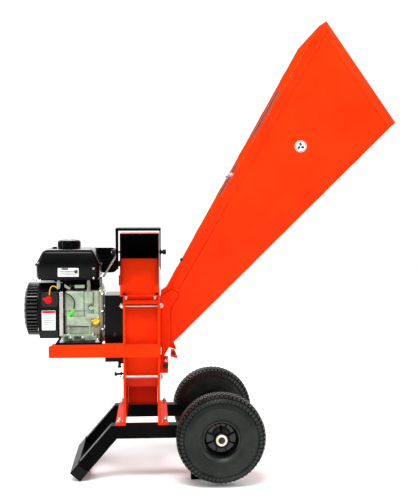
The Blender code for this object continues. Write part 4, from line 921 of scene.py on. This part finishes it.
def dress_crankcase():
    low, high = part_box("crankcase")
    near = low.y
    refine("crankcase", "casting", 0.005, segments=3)
    details = bmesh.new()
    # Joint flange round the case's side cover, with its bolts, facing +X.
    side = CASE_SIDE_X
    outline = rounded_box_outline((-0.088, 0.446), (0.064, high.z - 0.004), 0.022)
    add_prism(details, outline, "X", side - 0.004, side + 0.0025)
    outline = rounded_box_outline((-0.078, 0.455), (0.054, high.z - 0.012), 0.018)
    add_prism(details, outline, "X", side - 0.002, side + 0.0060)
    # Front face: vertical joint rib, breather boss, filler neck, drain boss, and stiffening ribs.
    add_box(details, (-0.4050, near - 0.0030, high.z - 0.006), (-0.3745, near + 0.010, high.z + 0.0040))
    add_prism(details, [(-0.4295, 0.4980), (-0.4295, 0.4775), (-0.4250, 0.4730), (-0.3545, 0.4695),
                        (-0.3545, 0.4980)], "Y", near - 0.0095, near + 0.004)
    add_box(details, (-0.4345, near - 0.0036, 0.4985), (-0.3560, near + 0.004, 0.5010))
    for x in (-0.4245, -0.3600):
        add_box(details, (x - 0.0030, near - 0.0040, 0.4440), (x + 0.0030, near + 0.004, 0.4700))
    add_box(details, (-0.3470, near - 0.0050, 0.5085), (-0.3330, near + 0.004, 0.5700))
    add_panel(details, (-0.4450, 0.4205), (-0.3525, 0.4440), 0.004, "Y", near - 0.0100, near + 0.004)
    add_panel(details, (-0.3745, 0.541), (-0.3490, 0.577), 0.006, "Y", near - 0.017, near + 0.004)
    add_panel(details, (-0.3692, 0.4942), (-0.3290, 0.5083), 0.0068, "Y", near - 0.016, near + 0.004)
    for x, z, radius, depth in ((-0.3546, 0.5262, 0.0078, 0.009), (-0.3451, 0.5262, 0.0068, 0.008),
                                (-0.4180, 0.4340, 0.0070, 0.013), (-0.3800, 0.4340, 0.0060, 0.012)):
        add_turned(details, [(0, radius), (depth - 0.001, radius * 0.94), (depth, radius * 0.84)], (0, -1, 0),
                   (x, near + 0.001, z), 24)
    # Filler neck towards the near side, under its cap.
    cap = JOINTS["oil_cap_turn"]
    seat, way = Vector(cap["pos_m"]), Vector(cap["axis"]).normalized()
    add_turned(details, [(0, 0.0150), (0.014, 0.0125), (0.0195, 0.0125), (0.0198, 0.0095)], way,
               seat - way * 0.020, 24)
    # Feet.
    for x in ((low.x + 0.012), -0.3965, -0.350):
        add_box(details, (x - 0.012, near - 0.010, 0.4268), (x + 0.012, near + 0.014, 0.4395))
    # Posts that carry the tank.
    tank_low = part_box("fuel_tank")[0].z
    for x, foot, wide in ((-0.4550, 0.5800, 0.0062), (-0.3625, 0.5740, 0.0062)):
        add_turned(details, [(0, wide), (tank_low - foot - 0.012, wide), (tank_low - foot - 0.0006,
                                                                          wide * 0.72)], (0, 0, 1),
                   (x, near + 0.008, foot), 24)
    finish_shape("crankcase_details", details, "casting", bevel=0.0014)
    strip = bmesh.new()
    add_box(strip, (-0.4515, near - 0.0118, 0.4390), (-0.4400, near - 0.0082, 0.5756))
    add_prism(strip, [(-0.4560, 0.5960), (-0.4480, 0.6060), (-0.4180, 0.5860), (-0.4240, 0.5790)], "Y",
              near + 0.018, near + 0.022)
    finish_shape("case_joint_flange", strip, "steel", bevel=0.0012)
    # Dark strips along the case's joint lines and dark discs behind two bosses: painted shade of the recesses
    # there.
    shade_strips = bmesh.new()
    for start, end in (((-0.4360, 0.5155), (-0.3700, 0.5170)), ((-0.4340, 0.4655), (-0.3540, 0.4680)),
                       ((-0.4260, 0.4990), (-0.3545, 0.4990)), ((-0.4370, 0.4465), (-0.3530, 0.4465))):
        add_box(shade_strips, (start[0], near - 0.0010, start[1]), (end[0], near + 0.0020, end[1]))
    for x, z, radius in ((-0.3546, 0.5262, 0.0090), (-0.3451, 0.5262, 0.0080)):
        add_turned(shade_strips, [(0, radius), (0.0012, radius)], (0, -1, 0), (x, near, z), 24)
    for x, low_z, high_z in ((-0.3768, 0.4990, 0.5780), (-0.3478, 0.5080, 0.5740), (-0.4375, 0.4460, 0.5680)):
        add_box(shade_strips, (x - 0.0009, near - 0.0010, low_z), (x + 0.0009, near + 0.0020, high_z))
    finish_shape("case_painted_shade_lines", shade_strips, "iron", bevel=0.0004)
    # Dark bracket that carries the tank, stepped down towards the housing side.
    bracket = bmesh.new()
    add_prism(bracket, [(-0.4700, tank_low - 0.0006), (-0.3300, tank_low - 0.0006), (-0.3290, 0.5835),
                        (-0.3720, 0.5835), (-0.4050, 0.5920), (-0.4700, 0.6060)], "Y", near + 0.022,
              near + 0.120)
    finish_shape("tank_bracket", bracket, "black", bevel=0.0020)

    bolts = bmesh.new()
    for y, z in ((-0.080, 0.456), (-0.080, 0.512), (-0.080, 0.566), (0.056, 0.456), (0.056, 0.566),
                 (-0.012, 0.5700), (-0.012, 0.4510)):
        add_hex_head(bolts, (side + 0.0025, y, z), (1, 0, 0), 0.008, 0.0045, washer=0.0115)
    for x, z in ((-0.3500, 0.5012), (-0.3390, 0.5012), (-0.3618, 0.5480), (-0.3618, 0.5700)):
        add_hex_head(bolts, (x, near - 0.0105, z), (0, -1, 0), 0.0068, 0.003)
    for x in (-0.4180, -0.3800):
        add_hex_head(bolts, (x, near - 0.0118, 0.4340), (0, -1, 0), 0.008, 0.004, washer=0.011)
    for x in ((low.x + 0.012), -0.350):
        add_hex_head(bolts, (x, near - 0.002, 0.4395), (0, 0, 1), 0.011, 0.006, washer=0.016)
    finish_shape("crankcase_bolts", bolts, "steel", bevel=0.0003)


def dress_cylinder():
    """Cooling fins round the leaning cylinder and its head, with the rocker cover and the spark plug."""
    turn = Matrix.Rotation(CYLINDER_LEAN, 4, "X")
    low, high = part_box("crankcase")
    foot = Vector(((low.x + high.x) / 2, 0, 0)) + Vector(CYLINDER_FOOT)
    place = Matrix.Translation(foot) @ turn
    fins = bmesh.new()
    for k in range(7):
        y = 0.006 + 0.0068 * k
        add_box(fins, (-0.047, y, -0.046), (0.047, y + 0.0022, 0.046), place)
    finish_shape("cylinder_fins", fins, "casting", bevel=0.0008)
    head = bmesh.new()
    for k in range(4):
        y = 0.053 + 0.0066 * k
        add_box(head, (-0.0455, y, -0.0455), (0.0455, y + 0.0022, 0.0455), place)
    add_box(head, (-0.038, 0.0525, -0.040), (0.038, 0.080, 0.040), place)
    piece = finish_shape("cylinder_head_fins", head, "casting", bevel=0.0009)
    cover = bmesh.new()
    outline = rounded_box_outline((-0.034, -0.036), (0.034, 0.036), 0.012)
    add_prism(cover, outline, "Y", 0.079, 0.0915)
    bmesh.ops.transform(cover, matrix=place, verts=cover.verts)
    finish_shape("rocker_cover", cover, "casting", bevel=0.004, segments=4)
    screws = bmesh.new()
    for x in (-0.026, 0.026):
        for z in (-0.028, 0.028):
            point = place @ Vector((x, 0.0915, z))
            add_hex_head(screws, point, turn @ Vector((0, 1, 0)), 0.0075, 0.003, washer=0.010)
    plug = place @ Vector((-0.012, 0.066, -0.040))
    add_turned(screws, [(0, 0.0075), (0.006, 0.0075), (0.006, 0.0045), (0.016, 0.0045), (0.018, 0.003)],
               (0, 0.25, -1), plug, 16)
    finish_shape("head_screws", screws, "steel")
    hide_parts("cylinder_head")


def dress_shroud():
    refine("fan_shroud", "plastic", 0.007, segments=4)
    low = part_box("fan_shroud")[0]
    cover_low, cover_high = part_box("recoil_cover")
    crank_z = JOINTS["crank_spin"]["pos_m"][2]
    radius = (cover_high.z - cover_low.z) / 2
    # Recoil starter cover: a domed shell with slanting air slots all round its rim, and a pressed middle.
    shell = bmesh.new()
    back = cover_high.x
    front = cover_low.x
    profile = [(back, radius), (back - 0.006, radius), (back - 0.007, radius - 0.009),
               (front + 0.012, radius - 0.011), (front + 0.010, radius - 0.006),
               (front + 0.003, radius - 0.016), (front + 0.0006, radius - 0.028), (front + 0.002, 0.050),
               (front + 0.005, 0.045), (front + 0.005, 0.016), (front + 0.0075, 0.013), (front + 0.0075, 0.0)]
    inner = [(front + 0.0100, 0.0), (front + 0.0100, 0.013), (front + 0.0076, 0.016), (front + 0.0076, 0.045),
             (front + 0.0046, 0.050), (front + 0.0034, radius - 0.030), (front + 0.014, radius - 0.014),
             (back, radius - 0.013)]
    add_lathe(shell, profile + inner, (1, 0, 0), (0, 0, crank_z), 72)
    piece = finish_shape("recoil_cover_shell", shell, "plastic", angle=40)
    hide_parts("recoil_cover")
    fins = bmesh.new()
    for k in range(FIN_COUNT):
        place = spun((0, 0, crank_z), 2 * math.pi * k / FIN_COUNT, "X")
        add_box(fins, (front + 0.008, -0.0026, radius - 0.0125), (back - 0.006, 0.0026, radius + 0.0002),
                place)
    finish_shape("recoil_cover_fins", fins, "rim", bevel=0.0016, segments=3)
    pockets = bmesh.new()
    for k in range(POCKET_COUNT):
        place = spun((0, 0, crank_z), 2 * math.pi * k / POCKET_COUNT, "X")
        lean = place @ spun((front + 0.0022, 0, radius - 0.025), math.radians(9), "Y")
        add_box(pockets, (-0.0016, -0.0026, -0.008), (0.0010, 0.0026, 0.009), lean)
    finish_shape("recoil_cover_slots", pockets, "rim", bevel=0.0006)
    screws = bmesh.new()
    for k in range(3):
        turn = math.radians(100 + 120 * k)
        spot = (low.x, (radius + 0.006) * math.cos(turn), crank_z + (radius + 0.006) * math.sin(turn))
        add_hex_head(screws, spot, (-1, 0, 0), 0.008, 0.004, washer=0.0125)
    finish_shape("recoil_cover_bolts", screws, "steel", bevel=0.0003)

    # Shroud's near side: a raised control panel round the switch, and a label with a red header and printed
    # rows.
    near = low.y
    panel = bmesh.new()
    add_panel(panel, (-0.5060, 0.5300), (-0.4560, 0.5760), 0.010, "Y", near - 0.0014, near + 0.003)
    finish_shape("switch_panel", panel, "rim", bevel=0.0008)
    label = bmesh.new()
    add_panel(label, (-0.5055, 0.4580), (-0.4635, 0.5190), 0.0025, "Y", near - 0.0006, near + 0.001)
    finish_shape("shroud_label", label, "white", bevel=0.0002)
    header = bmesh.new()
    add_box(header, (-0.5045, near - 0.0010, 0.5110), (-0.4645, near - 0.0004, 0.5180))
    finish_shape("shroud_label_header", header, "red", bevel=0.0002)
    rows = bmesh.new()
    for k in range(8):
        z = 0.5050 - 0.0056 * k
        add_box(rows, (-0.5010, near - 0.0009, z - 0.0006), (-0.4690 - 0.005 * (k % 3), near - 0.0004,
                                                             z + 0.0006))
    finish_shape("shroud_label_bars", rows, "grey_print", bevel=0.0001)


def dress_controls():
    seat = Vector(JOINTS["stop_switch_turn"]["pos_m"])
    knob = bmesh.new()
    add_turned(knob, [(0, 0.0118), (0.0035, 0.0122), (0.0090, 0.0110), (0.0106, 0.0090)], (0, -1, 0), seat,
               36)
    grip = [(-0.0168, -0.0022), (-0.0150, -0.0034), (0.0080, -0.0030), (0.0090, 0.0), (0.0080, 0.0030),
            (-0.0150, 0.0034), (-0.0168, 0.0022)]
    lean = math.radians(-20)
    add_prism(knob, turned_outline(grip, (seat.x, seat.z), lean), "Y", seat.y - 0.0165, seat.y - 0.003)
    piece = finish_shape("stop_switch_knob", knob, "red", BODY_OF["stop_switch"], bevel=0.0009, segments=3)
    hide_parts("stop_switch")

    cap = JOINTS["oil_cap_turn"]
    seat, way = Vector(cap["pos_m"]), Vector(cap["axis"]).normalized()
    shape = bmesh.new()
    add_turned(shape, [(0, 0.0125), (0.0012, 0.0130), (0.0075, 0.0126), (0.0085, 0.0112)], way, seat, 36)
    tilt = way.to_track_quat("Z", "X").to_matrix().to_4x4()
    for side in (-1, 1):
        turn = Matrix.Translation(seat) @ tilt @ Matrix.Rotation(math.radians(35), 4, "Z")
        add_box(shape, (-0.0022, side * 0.0095 - 0.0030, 0.006), (0.0022, side * 0.0095 + 0.0030, 0.0165),
                turn)
    add_box(shape, (-0.0020, -0.0095, 0.006), (0.0020, 0.0095, 0.0125),
            Matrix.Translation(seat) @ tilt @ Matrix.Rotation(math.radians(35), 4, "Z"))
    piece = finish_shape("oil_cap_finished", shape, "yellow", BODY_OF["oil_cap"], bevel=0.0009)
    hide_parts("oil_cap")

    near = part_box("fan_shroud")[0].y
    y = near - 0.0012
    wire("switch_lead", [(-0.4815, y, 0.5665), (-0.4812, y, 0.5740), (-0.4800, y, 0.5860),
                         (-0.4745, y, 0.5945), (-0.4680, y + 0.001, 0.5955), (-0.4600, y + 0.006, 0.5900),
                         (-0.4560, y + 0.012, 0.5830)], 0.0015, "yellow")
    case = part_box("crankcase")[0].y
    wire("sensor_lead", [(-0.4460, case + 0.002, 0.5740), (-0.4300, case - 0.004, 0.5710),
                         (-0.4160, case - 0.006, 0.5640), (-0.4060, case - 0.006, 0.5500),
                         (-0.4045, case - 0.006, 0.5380), (-0.4072, case - 0.006, 0.5270),
                         (-0.4078, case - 0.005, 0.5230)], 0.0017, "plastic")
    wire("earth_lead", [(-0.4505, case + 0.001, 0.5010), (-0.4440, case - 0.005, 0.5022),
                        (-0.4370, case - 0.006, 0.5005), (-0.4320, case - 0.004, 0.4985)], 0.0020, "plastic")
    plug = bmesh.new()
    add_prism(plug, [(-0.4100, 0.5240), (-0.4040, 0.5200), (-0.4225, 0.4955), (-0.4300, 0.4995)], "Y",
              case - 0.0085, case - 0.0025)
    finish_shape("sensor_connector", plug, "green", bevel=0.0014)

    for node in ("throttle_lever", "choke_lever"):
        refine(node, "plastic", 0.0008)
    refine("carburettor", "casting", 0.003, segments=3)
    refine("recoil_handle", "plastic", 0.0022, segments=3)
    # The rope's end at the grip: it follows the grip when that is pulled.
    start = Vector(JOINTS["recoil_pull"]["pos_m"])
    way = Vector(JOINTS["recoil_pull"]["axis"]).normalized()
    rope = bmesh.new()
    profile = [(0.0, 0.0)]
    for k in range(13):
        profile.append((0.0165 * k / 12, 0.0022 + 0.0002 * (k % 2)))
    profile.append((0.0165, 0.0))
    add_lathe(rope, profile, way, start - way * 0.004, 14)
    finish_shape("starter_rope", rope, "flap", BODY_OF["recoil_handle"])
    eyelet = bmesh.new()
    add_lathe(eyelet, [(-0.006, 0.0045), (-0.006, 0.0085), (0.0, 0.0095), (0.0025, 0.0085), (0.0025, 0.0045)],
              way, start, 24)
    finish_shape("starter_rope_eyelet", eyelet, "plastic", bevel=0.0005)


def dress_tank():
    low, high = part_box("fuel_tank")
    seam = TANK_SEAM_Z
    # Two shells of rounded plan that meet in a flange all round.
    shape = bmesh.new()
    levels = (
        (low.z, 0.016, 0.016, 0.012), (low.z + 0.004, 0.008, 0.008, 0.018),
              (low.z + 0.012, 0.004, 0.004, 0.020),
        (seam - 0.003, 0.003, 0.003, 0.020), (seam - 0.003, -0.001, -0.001, 0.022),
        (seam + 0.003, -0.001, -0.001, 0.022), (seam + 0.003, 0.003, 0.003, 0.018),
        (seam + 0.012, 0.008, 0.0045, 0.014), (high.z - 0.012, 0.020, 0.0085, 0.011),
        (high.z - 0.005, 0.0245, 0.0140, 0.011), (high.z - 0.0015, 0.030, 0.0220, 0.010),
        (high.z, 0.038, 0.0340, 0.008),
    )
    rings = []
    for z, inset_x, inset_y, radius in levels:
        outline = rounded_box_outline((low.x + inset_x, low.y + inset_y),
                                      (high.x - inset_x, high.y - inset_y), radius, 7)
        rings.append([shape.verts.new((x, y, z)) for x, y in outline])
    for first, second in zip(rings, rings[1:]):
        join_rings(shape, first, second)
    shape.faces.new(rings[0])
    shape.faces.new(rings[-1])
    tank = finish_shape("fuel_tank_shells", shape, "plastic", angle=42)
    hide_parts("fuel_tank")

    bits = bmesh.new()
    for x in (low.x + 0.012, high.x - 0.018):
        for y in (low.y + 0.010, high.y - 0.010):
            add_hex_head(bits, (x, y, seam + 0.003), (0, 0, 1), 0.008, 0.004, washer=0.012)
    for z in (0.6486, 0.6190):
        add_dome(bits, (-0.3456, low.y + 0.0036, z), (0, -1, 0), 0.0034, 0.0020)
    tip = add_hex_head(bits, (low.x + 0.0045, low.y + 0.012, low.z + 0.0020), (-1, 0, 0), 0.0070, 0.0035,
                       washer=0.009)
    add_thread_end(bits, tip, (-1, 0, 0), 0.0024, 0.0100)
    finish_shape("tank_bolts", bits, "steel")
    label = bmesh.new()
    add_panel(label, (-0.4545, 0.6240), (-0.3910, 0.6505), 0.002, "Y", low.y + 0.0024, low.y + 0.004)
    finish_shape("tank_label", label, "white", bevel=0.0002)
    bars = bmesh.new()
    for x, z, half, tall in ((-0.4330, 0.6475, 0.010, 0.0022), (-0.4250, 0.6400, 0.022, 0.0008),
                             (-0.4260, 0.6350, 0.020, 0.0008), (-0.4240, 0.6295, 0.024, 0.0008),
                             (-0.3990, 0.6390, 0.005, 0.0050)):
        add_box(bars, (x - half, low.y + 0.0018, z - tall), (x + half, low.y + 0.0026, z + tall))
    finish_shape("tank_label_bars", bars, "grey_print", bevel=0.0001)

    cap_low, cap_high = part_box("fuel_cap")
    centre = Vector(((cap_low.x + cap_high.x) / 2, (cap_low.y + cap_high.y) / 2, cap_low.z))
    cap_r = (cap_high.x - cap_low.x) / 2
    height = cap_high.z - cap_low.z
    cap = bmesh.new()
    add_turned(cap, [(0, cap_r - 0.001), (height * 0.80, cap_r - 0.001), (height * 0.93, cap_r - 0.004),
                     (height * 0.97, cap_r - 0.008)], (0, 0, 1), centre, 72)
    for k in range(40):
        turn = spun(centre, 2 * math.pi * k / 40, "Z")
        add_box(cap, (cap_r - 0.0022, -0.0014, 0.003), (cap_r + 0.0002, 0.0014, height * 0.78), turn)
    for k in range(6):
        turn = spun(centre, 2 * math.pi * k / 6, "Z")
        add_box(cap, (0.006, -0.0016, height * 0.95), (cap_r - 0.010, 0.0016, height), turn)
    piece = finish_shape("fuel_cap_finished", cap, "plastic", BODY_OF["fuel_cap"], bevel=0.0006, segments=1)
    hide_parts("fuel_cap")
    neck = bmesh.new()
    add_turned(neck, [(0, 0.0075), (0.006, 0.0075), (0.009, 0.0050)], (0, 0, 1),
               (-0.4690, -0.060, high.z - 0.003), 20)
    finish_shape("tank_vent", neck, "plastic", bevel=0.0006)


def dress_muffler():
    low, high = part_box("muffler")
    shape = bmesh.new()
    add_panel(shape, (low.x + 0.006, low.z + 0.004), (high.x - 0.004, high.z - 0.006), 0.018, "Y",
              low.y + 0.010, high.y - 0.002)
    box = finish_shape("muffler_box", shape, "black", bevel=0.005, segments=3)
    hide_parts("muffler")
    shield = bmesh.new()
    add_panel(shield, (low.x, low.z), (high.x, high.z), 0.020, "Y", low.y, low.y + 0.004)
    for k in range(5):
        z = low.z + 0.016 + 0.0125 * k
        add_panel(shield, (low.x + 0.016, z - 0.0022), (high.x - 0.026, z + 0.0022), 0.0021, "Y",
                  low.y - 0.0014, low.y + 0.001)
    finish_shape("muffler_guard", shield, "black", bevel=0.0009)
    strap = bmesh.new()
    path = [(-0.2905, 0.6985), (-0.2838, 0.6770), (-0.3270, 0.6075)]
    for (x1, z1), (x2, z2) in zip(path, path[1:]):
        first, second = Vector((x1, 0, z1)), Vector((x2, 0, z2))
        along = (second - first).normalized()
        across = Vector((along.z, 0, -along.x)) * 0.0032
        outline = [(p.x, p.z) for p in (first + across, second + across, second - across, first - across)]
        add_prism(strap, outline, "Y", low.y - 0.0045, low.y - 0.0022)
    finish_shape("muffler_strap", strap, "steel", bevel=0.0006)
    pipe = bmesh.new()
    add_lathe(pipe, [(0, 0.0072), (0, 0.0095), (0.030, 0.0095), (0.030, 0.0072)], (1, 0, 0.15),
              (high.x - 0.012, high.y - 0.030, low.z + 0.022), 24)
    finish_shape("exhaust_outlet", pipe, "black")


def dress_air_cleaner():
    low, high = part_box("air_cleaner")
    refine("air_cleaner", "plastic", 0.004, segments=3)
    bits = bmesh.new()
    add_lathe(bits, [(0, 0), (0, 0.010), (0.004, 0.012), (0.009, 0.0105), (0.009, 0.004), (0.011, 0)],
              (0, 0, 1), ((low.x + high.x) / 2, (low.y + high.y) / 2, high.z - 0.0005), 24)
    for k in range(6):
        x = low.x + 0.020 + 0.013 * k
        add_box(bits, (x - 0.002, high.y - 0.001, 0.632), (x + 0.002, high.y + 0.0016, 0.686))
    finish_shape("air_cleaner_trim", bits, "rim", bevel=0.0008)


# ---------------------------------------------------------------- studio


WORLD_FADE = (("From Min", -0.9), ("From Max", 0.6), ("To Min", 0.08), ("To Max", 1.19))
WORLD_HEIGHT_SHARE = 1.3  # how much more height counts than depth in that fade
FLOOR_HALF = 9.0
CAMERA_LENS, CAMERA_SENSOR = 62.65, 36.0
CAMERA_PLACE = (-0.1606, -2.7926, 0.839)
CAMERA_YAW, CAMERA_PITCH = math.radians(3.6234), math.radians(2.8715)
LIGHTS = (
    # name, place, what it aims at, size, watts
    ("key_softbox", (-0.4, -1.7, 3.5), (0.0, 0.0, 0.7), (1.7, 1.0), 105),
    ("side_softbox", (2.8, -1.9, 1.9), (0.3, 0.0, 0.9), (0.9, 2.2), 34),
    ("left_softbox", (-2.9, -1.0, 1.3), (-0.3, 0.0, 0.5), (0.7, 1.8), 24),
    ("back_softbox", (-1.2, 2.8, 2.4), (0.0, 0.0, 0.7), (2.0, 1.4), 50),
)


def area_light(name, place, target, size, power):
    data = bpy.data.lights.new(name, "AREA")
    data.shape = "RECTANGLE"
    data.size, data.size_y = size
    data.energy = power
    lamp = bpy.data.objects.new(name, data)
    bpy.context.collection.objects.link(lamp)
    lamp.location = place
    aim = Vector(target) - Vector(place)
    lamp.rotation_mode = "QUATERNION"
    lamp.rotation_quaternion = aim.to_track_quat("-Z", "Y")


def build_studio():
    floor = bmesh.new()
    bmesh.ops.create_grid(floor, x_segments=8, y_segments=8, size=FLOOR_HALF)
    mesh = bpy.data.meshes.new("floor")
    floor.to_mesh(mesh)
    floor.free()
    mesh.materials.append(MATS["floor"])
    ground = bpy.data.objects.new("floor", mesh)
    bpy.context.collection.objects.link(ground)
    ground.location.z = -0.0005

    bpy.context.scene.view_settings.view_transform = "Standard"
    world = bpy.data.worlds.new("studio")
    bpy.context.scene.world = world
    world.use_nodes = True
    nodes = world.node_tree.nodes
    link = world.node_tree.links.new
    place = nodes.new("ShaderNodeTexCoord")
    split = nodes.new("ShaderNodeSeparateXYZ")
    fade = nodes.new("ShaderNodeMapRange")
    height = nodes.new("ShaderNodeMath")
    height.operation = "MULTIPLY_ADD"
    height.inputs[1].default_value = WORLD_HEIGHT_SHARE
    for name, value in WORLD_FADE:
        fade.inputs[name].default_value = value
    link(place.outputs["Generated"], split.inputs["Vector"])
    link(split.outputs["Z"], height.inputs[0])
    link(split.outputs["Y"], height.inputs[2])
    link(height.outputs["Value"], fade.inputs["Value"])
    link(fade.outputs["Result"], nodes["Background"].inputs["Strength"])
    nodes["Background"].inputs["Color"].default_value = (1.0, 1.0, 1.0, 1.0)
    for light in LIGHTS:
        area_light(*light)


def build_camera():
    data = bpy.data.cameras.new("camera")
    data.lens = CAMERA_LENS
    data.sensor_width = CAMERA_SENSOR
    data.sensor_fit = "AUTO"
    camera = bpy.data.objects.new("camera", data)
    bpy.context.collection.objects.link(camera)
    bpy.context.scene.camera = camera
    camera.location = CAMERA_PLACE
    yaw, pitch = CAMERA_YAW, CAMERA_PITCH
    forward = Vector((math.sin(yaw) * math.cos(pitch), math.cos(yaw) * math.cos(pitch), -math.sin(pitch)))
    camera.rotation_mode = "QUATERNION"
    camera.rotation_quaternion = forward.to_track_quat("-Z", "Y")


def main():
    build_camera()
    build_studio()
    for dress in (dress_frame, dress_feet_bolts, dress_wheels, dress_housing, dress_rotor, dress_guard,
                  dress_hopper, dress_hopper_brackets, dress_chute, dress_deck, dress_crankcase,
                  dress_cylinder, dress_shroud, dress_controls, dress_tank, dress_muffler, dress_air_cleaner):
        dress()


main()
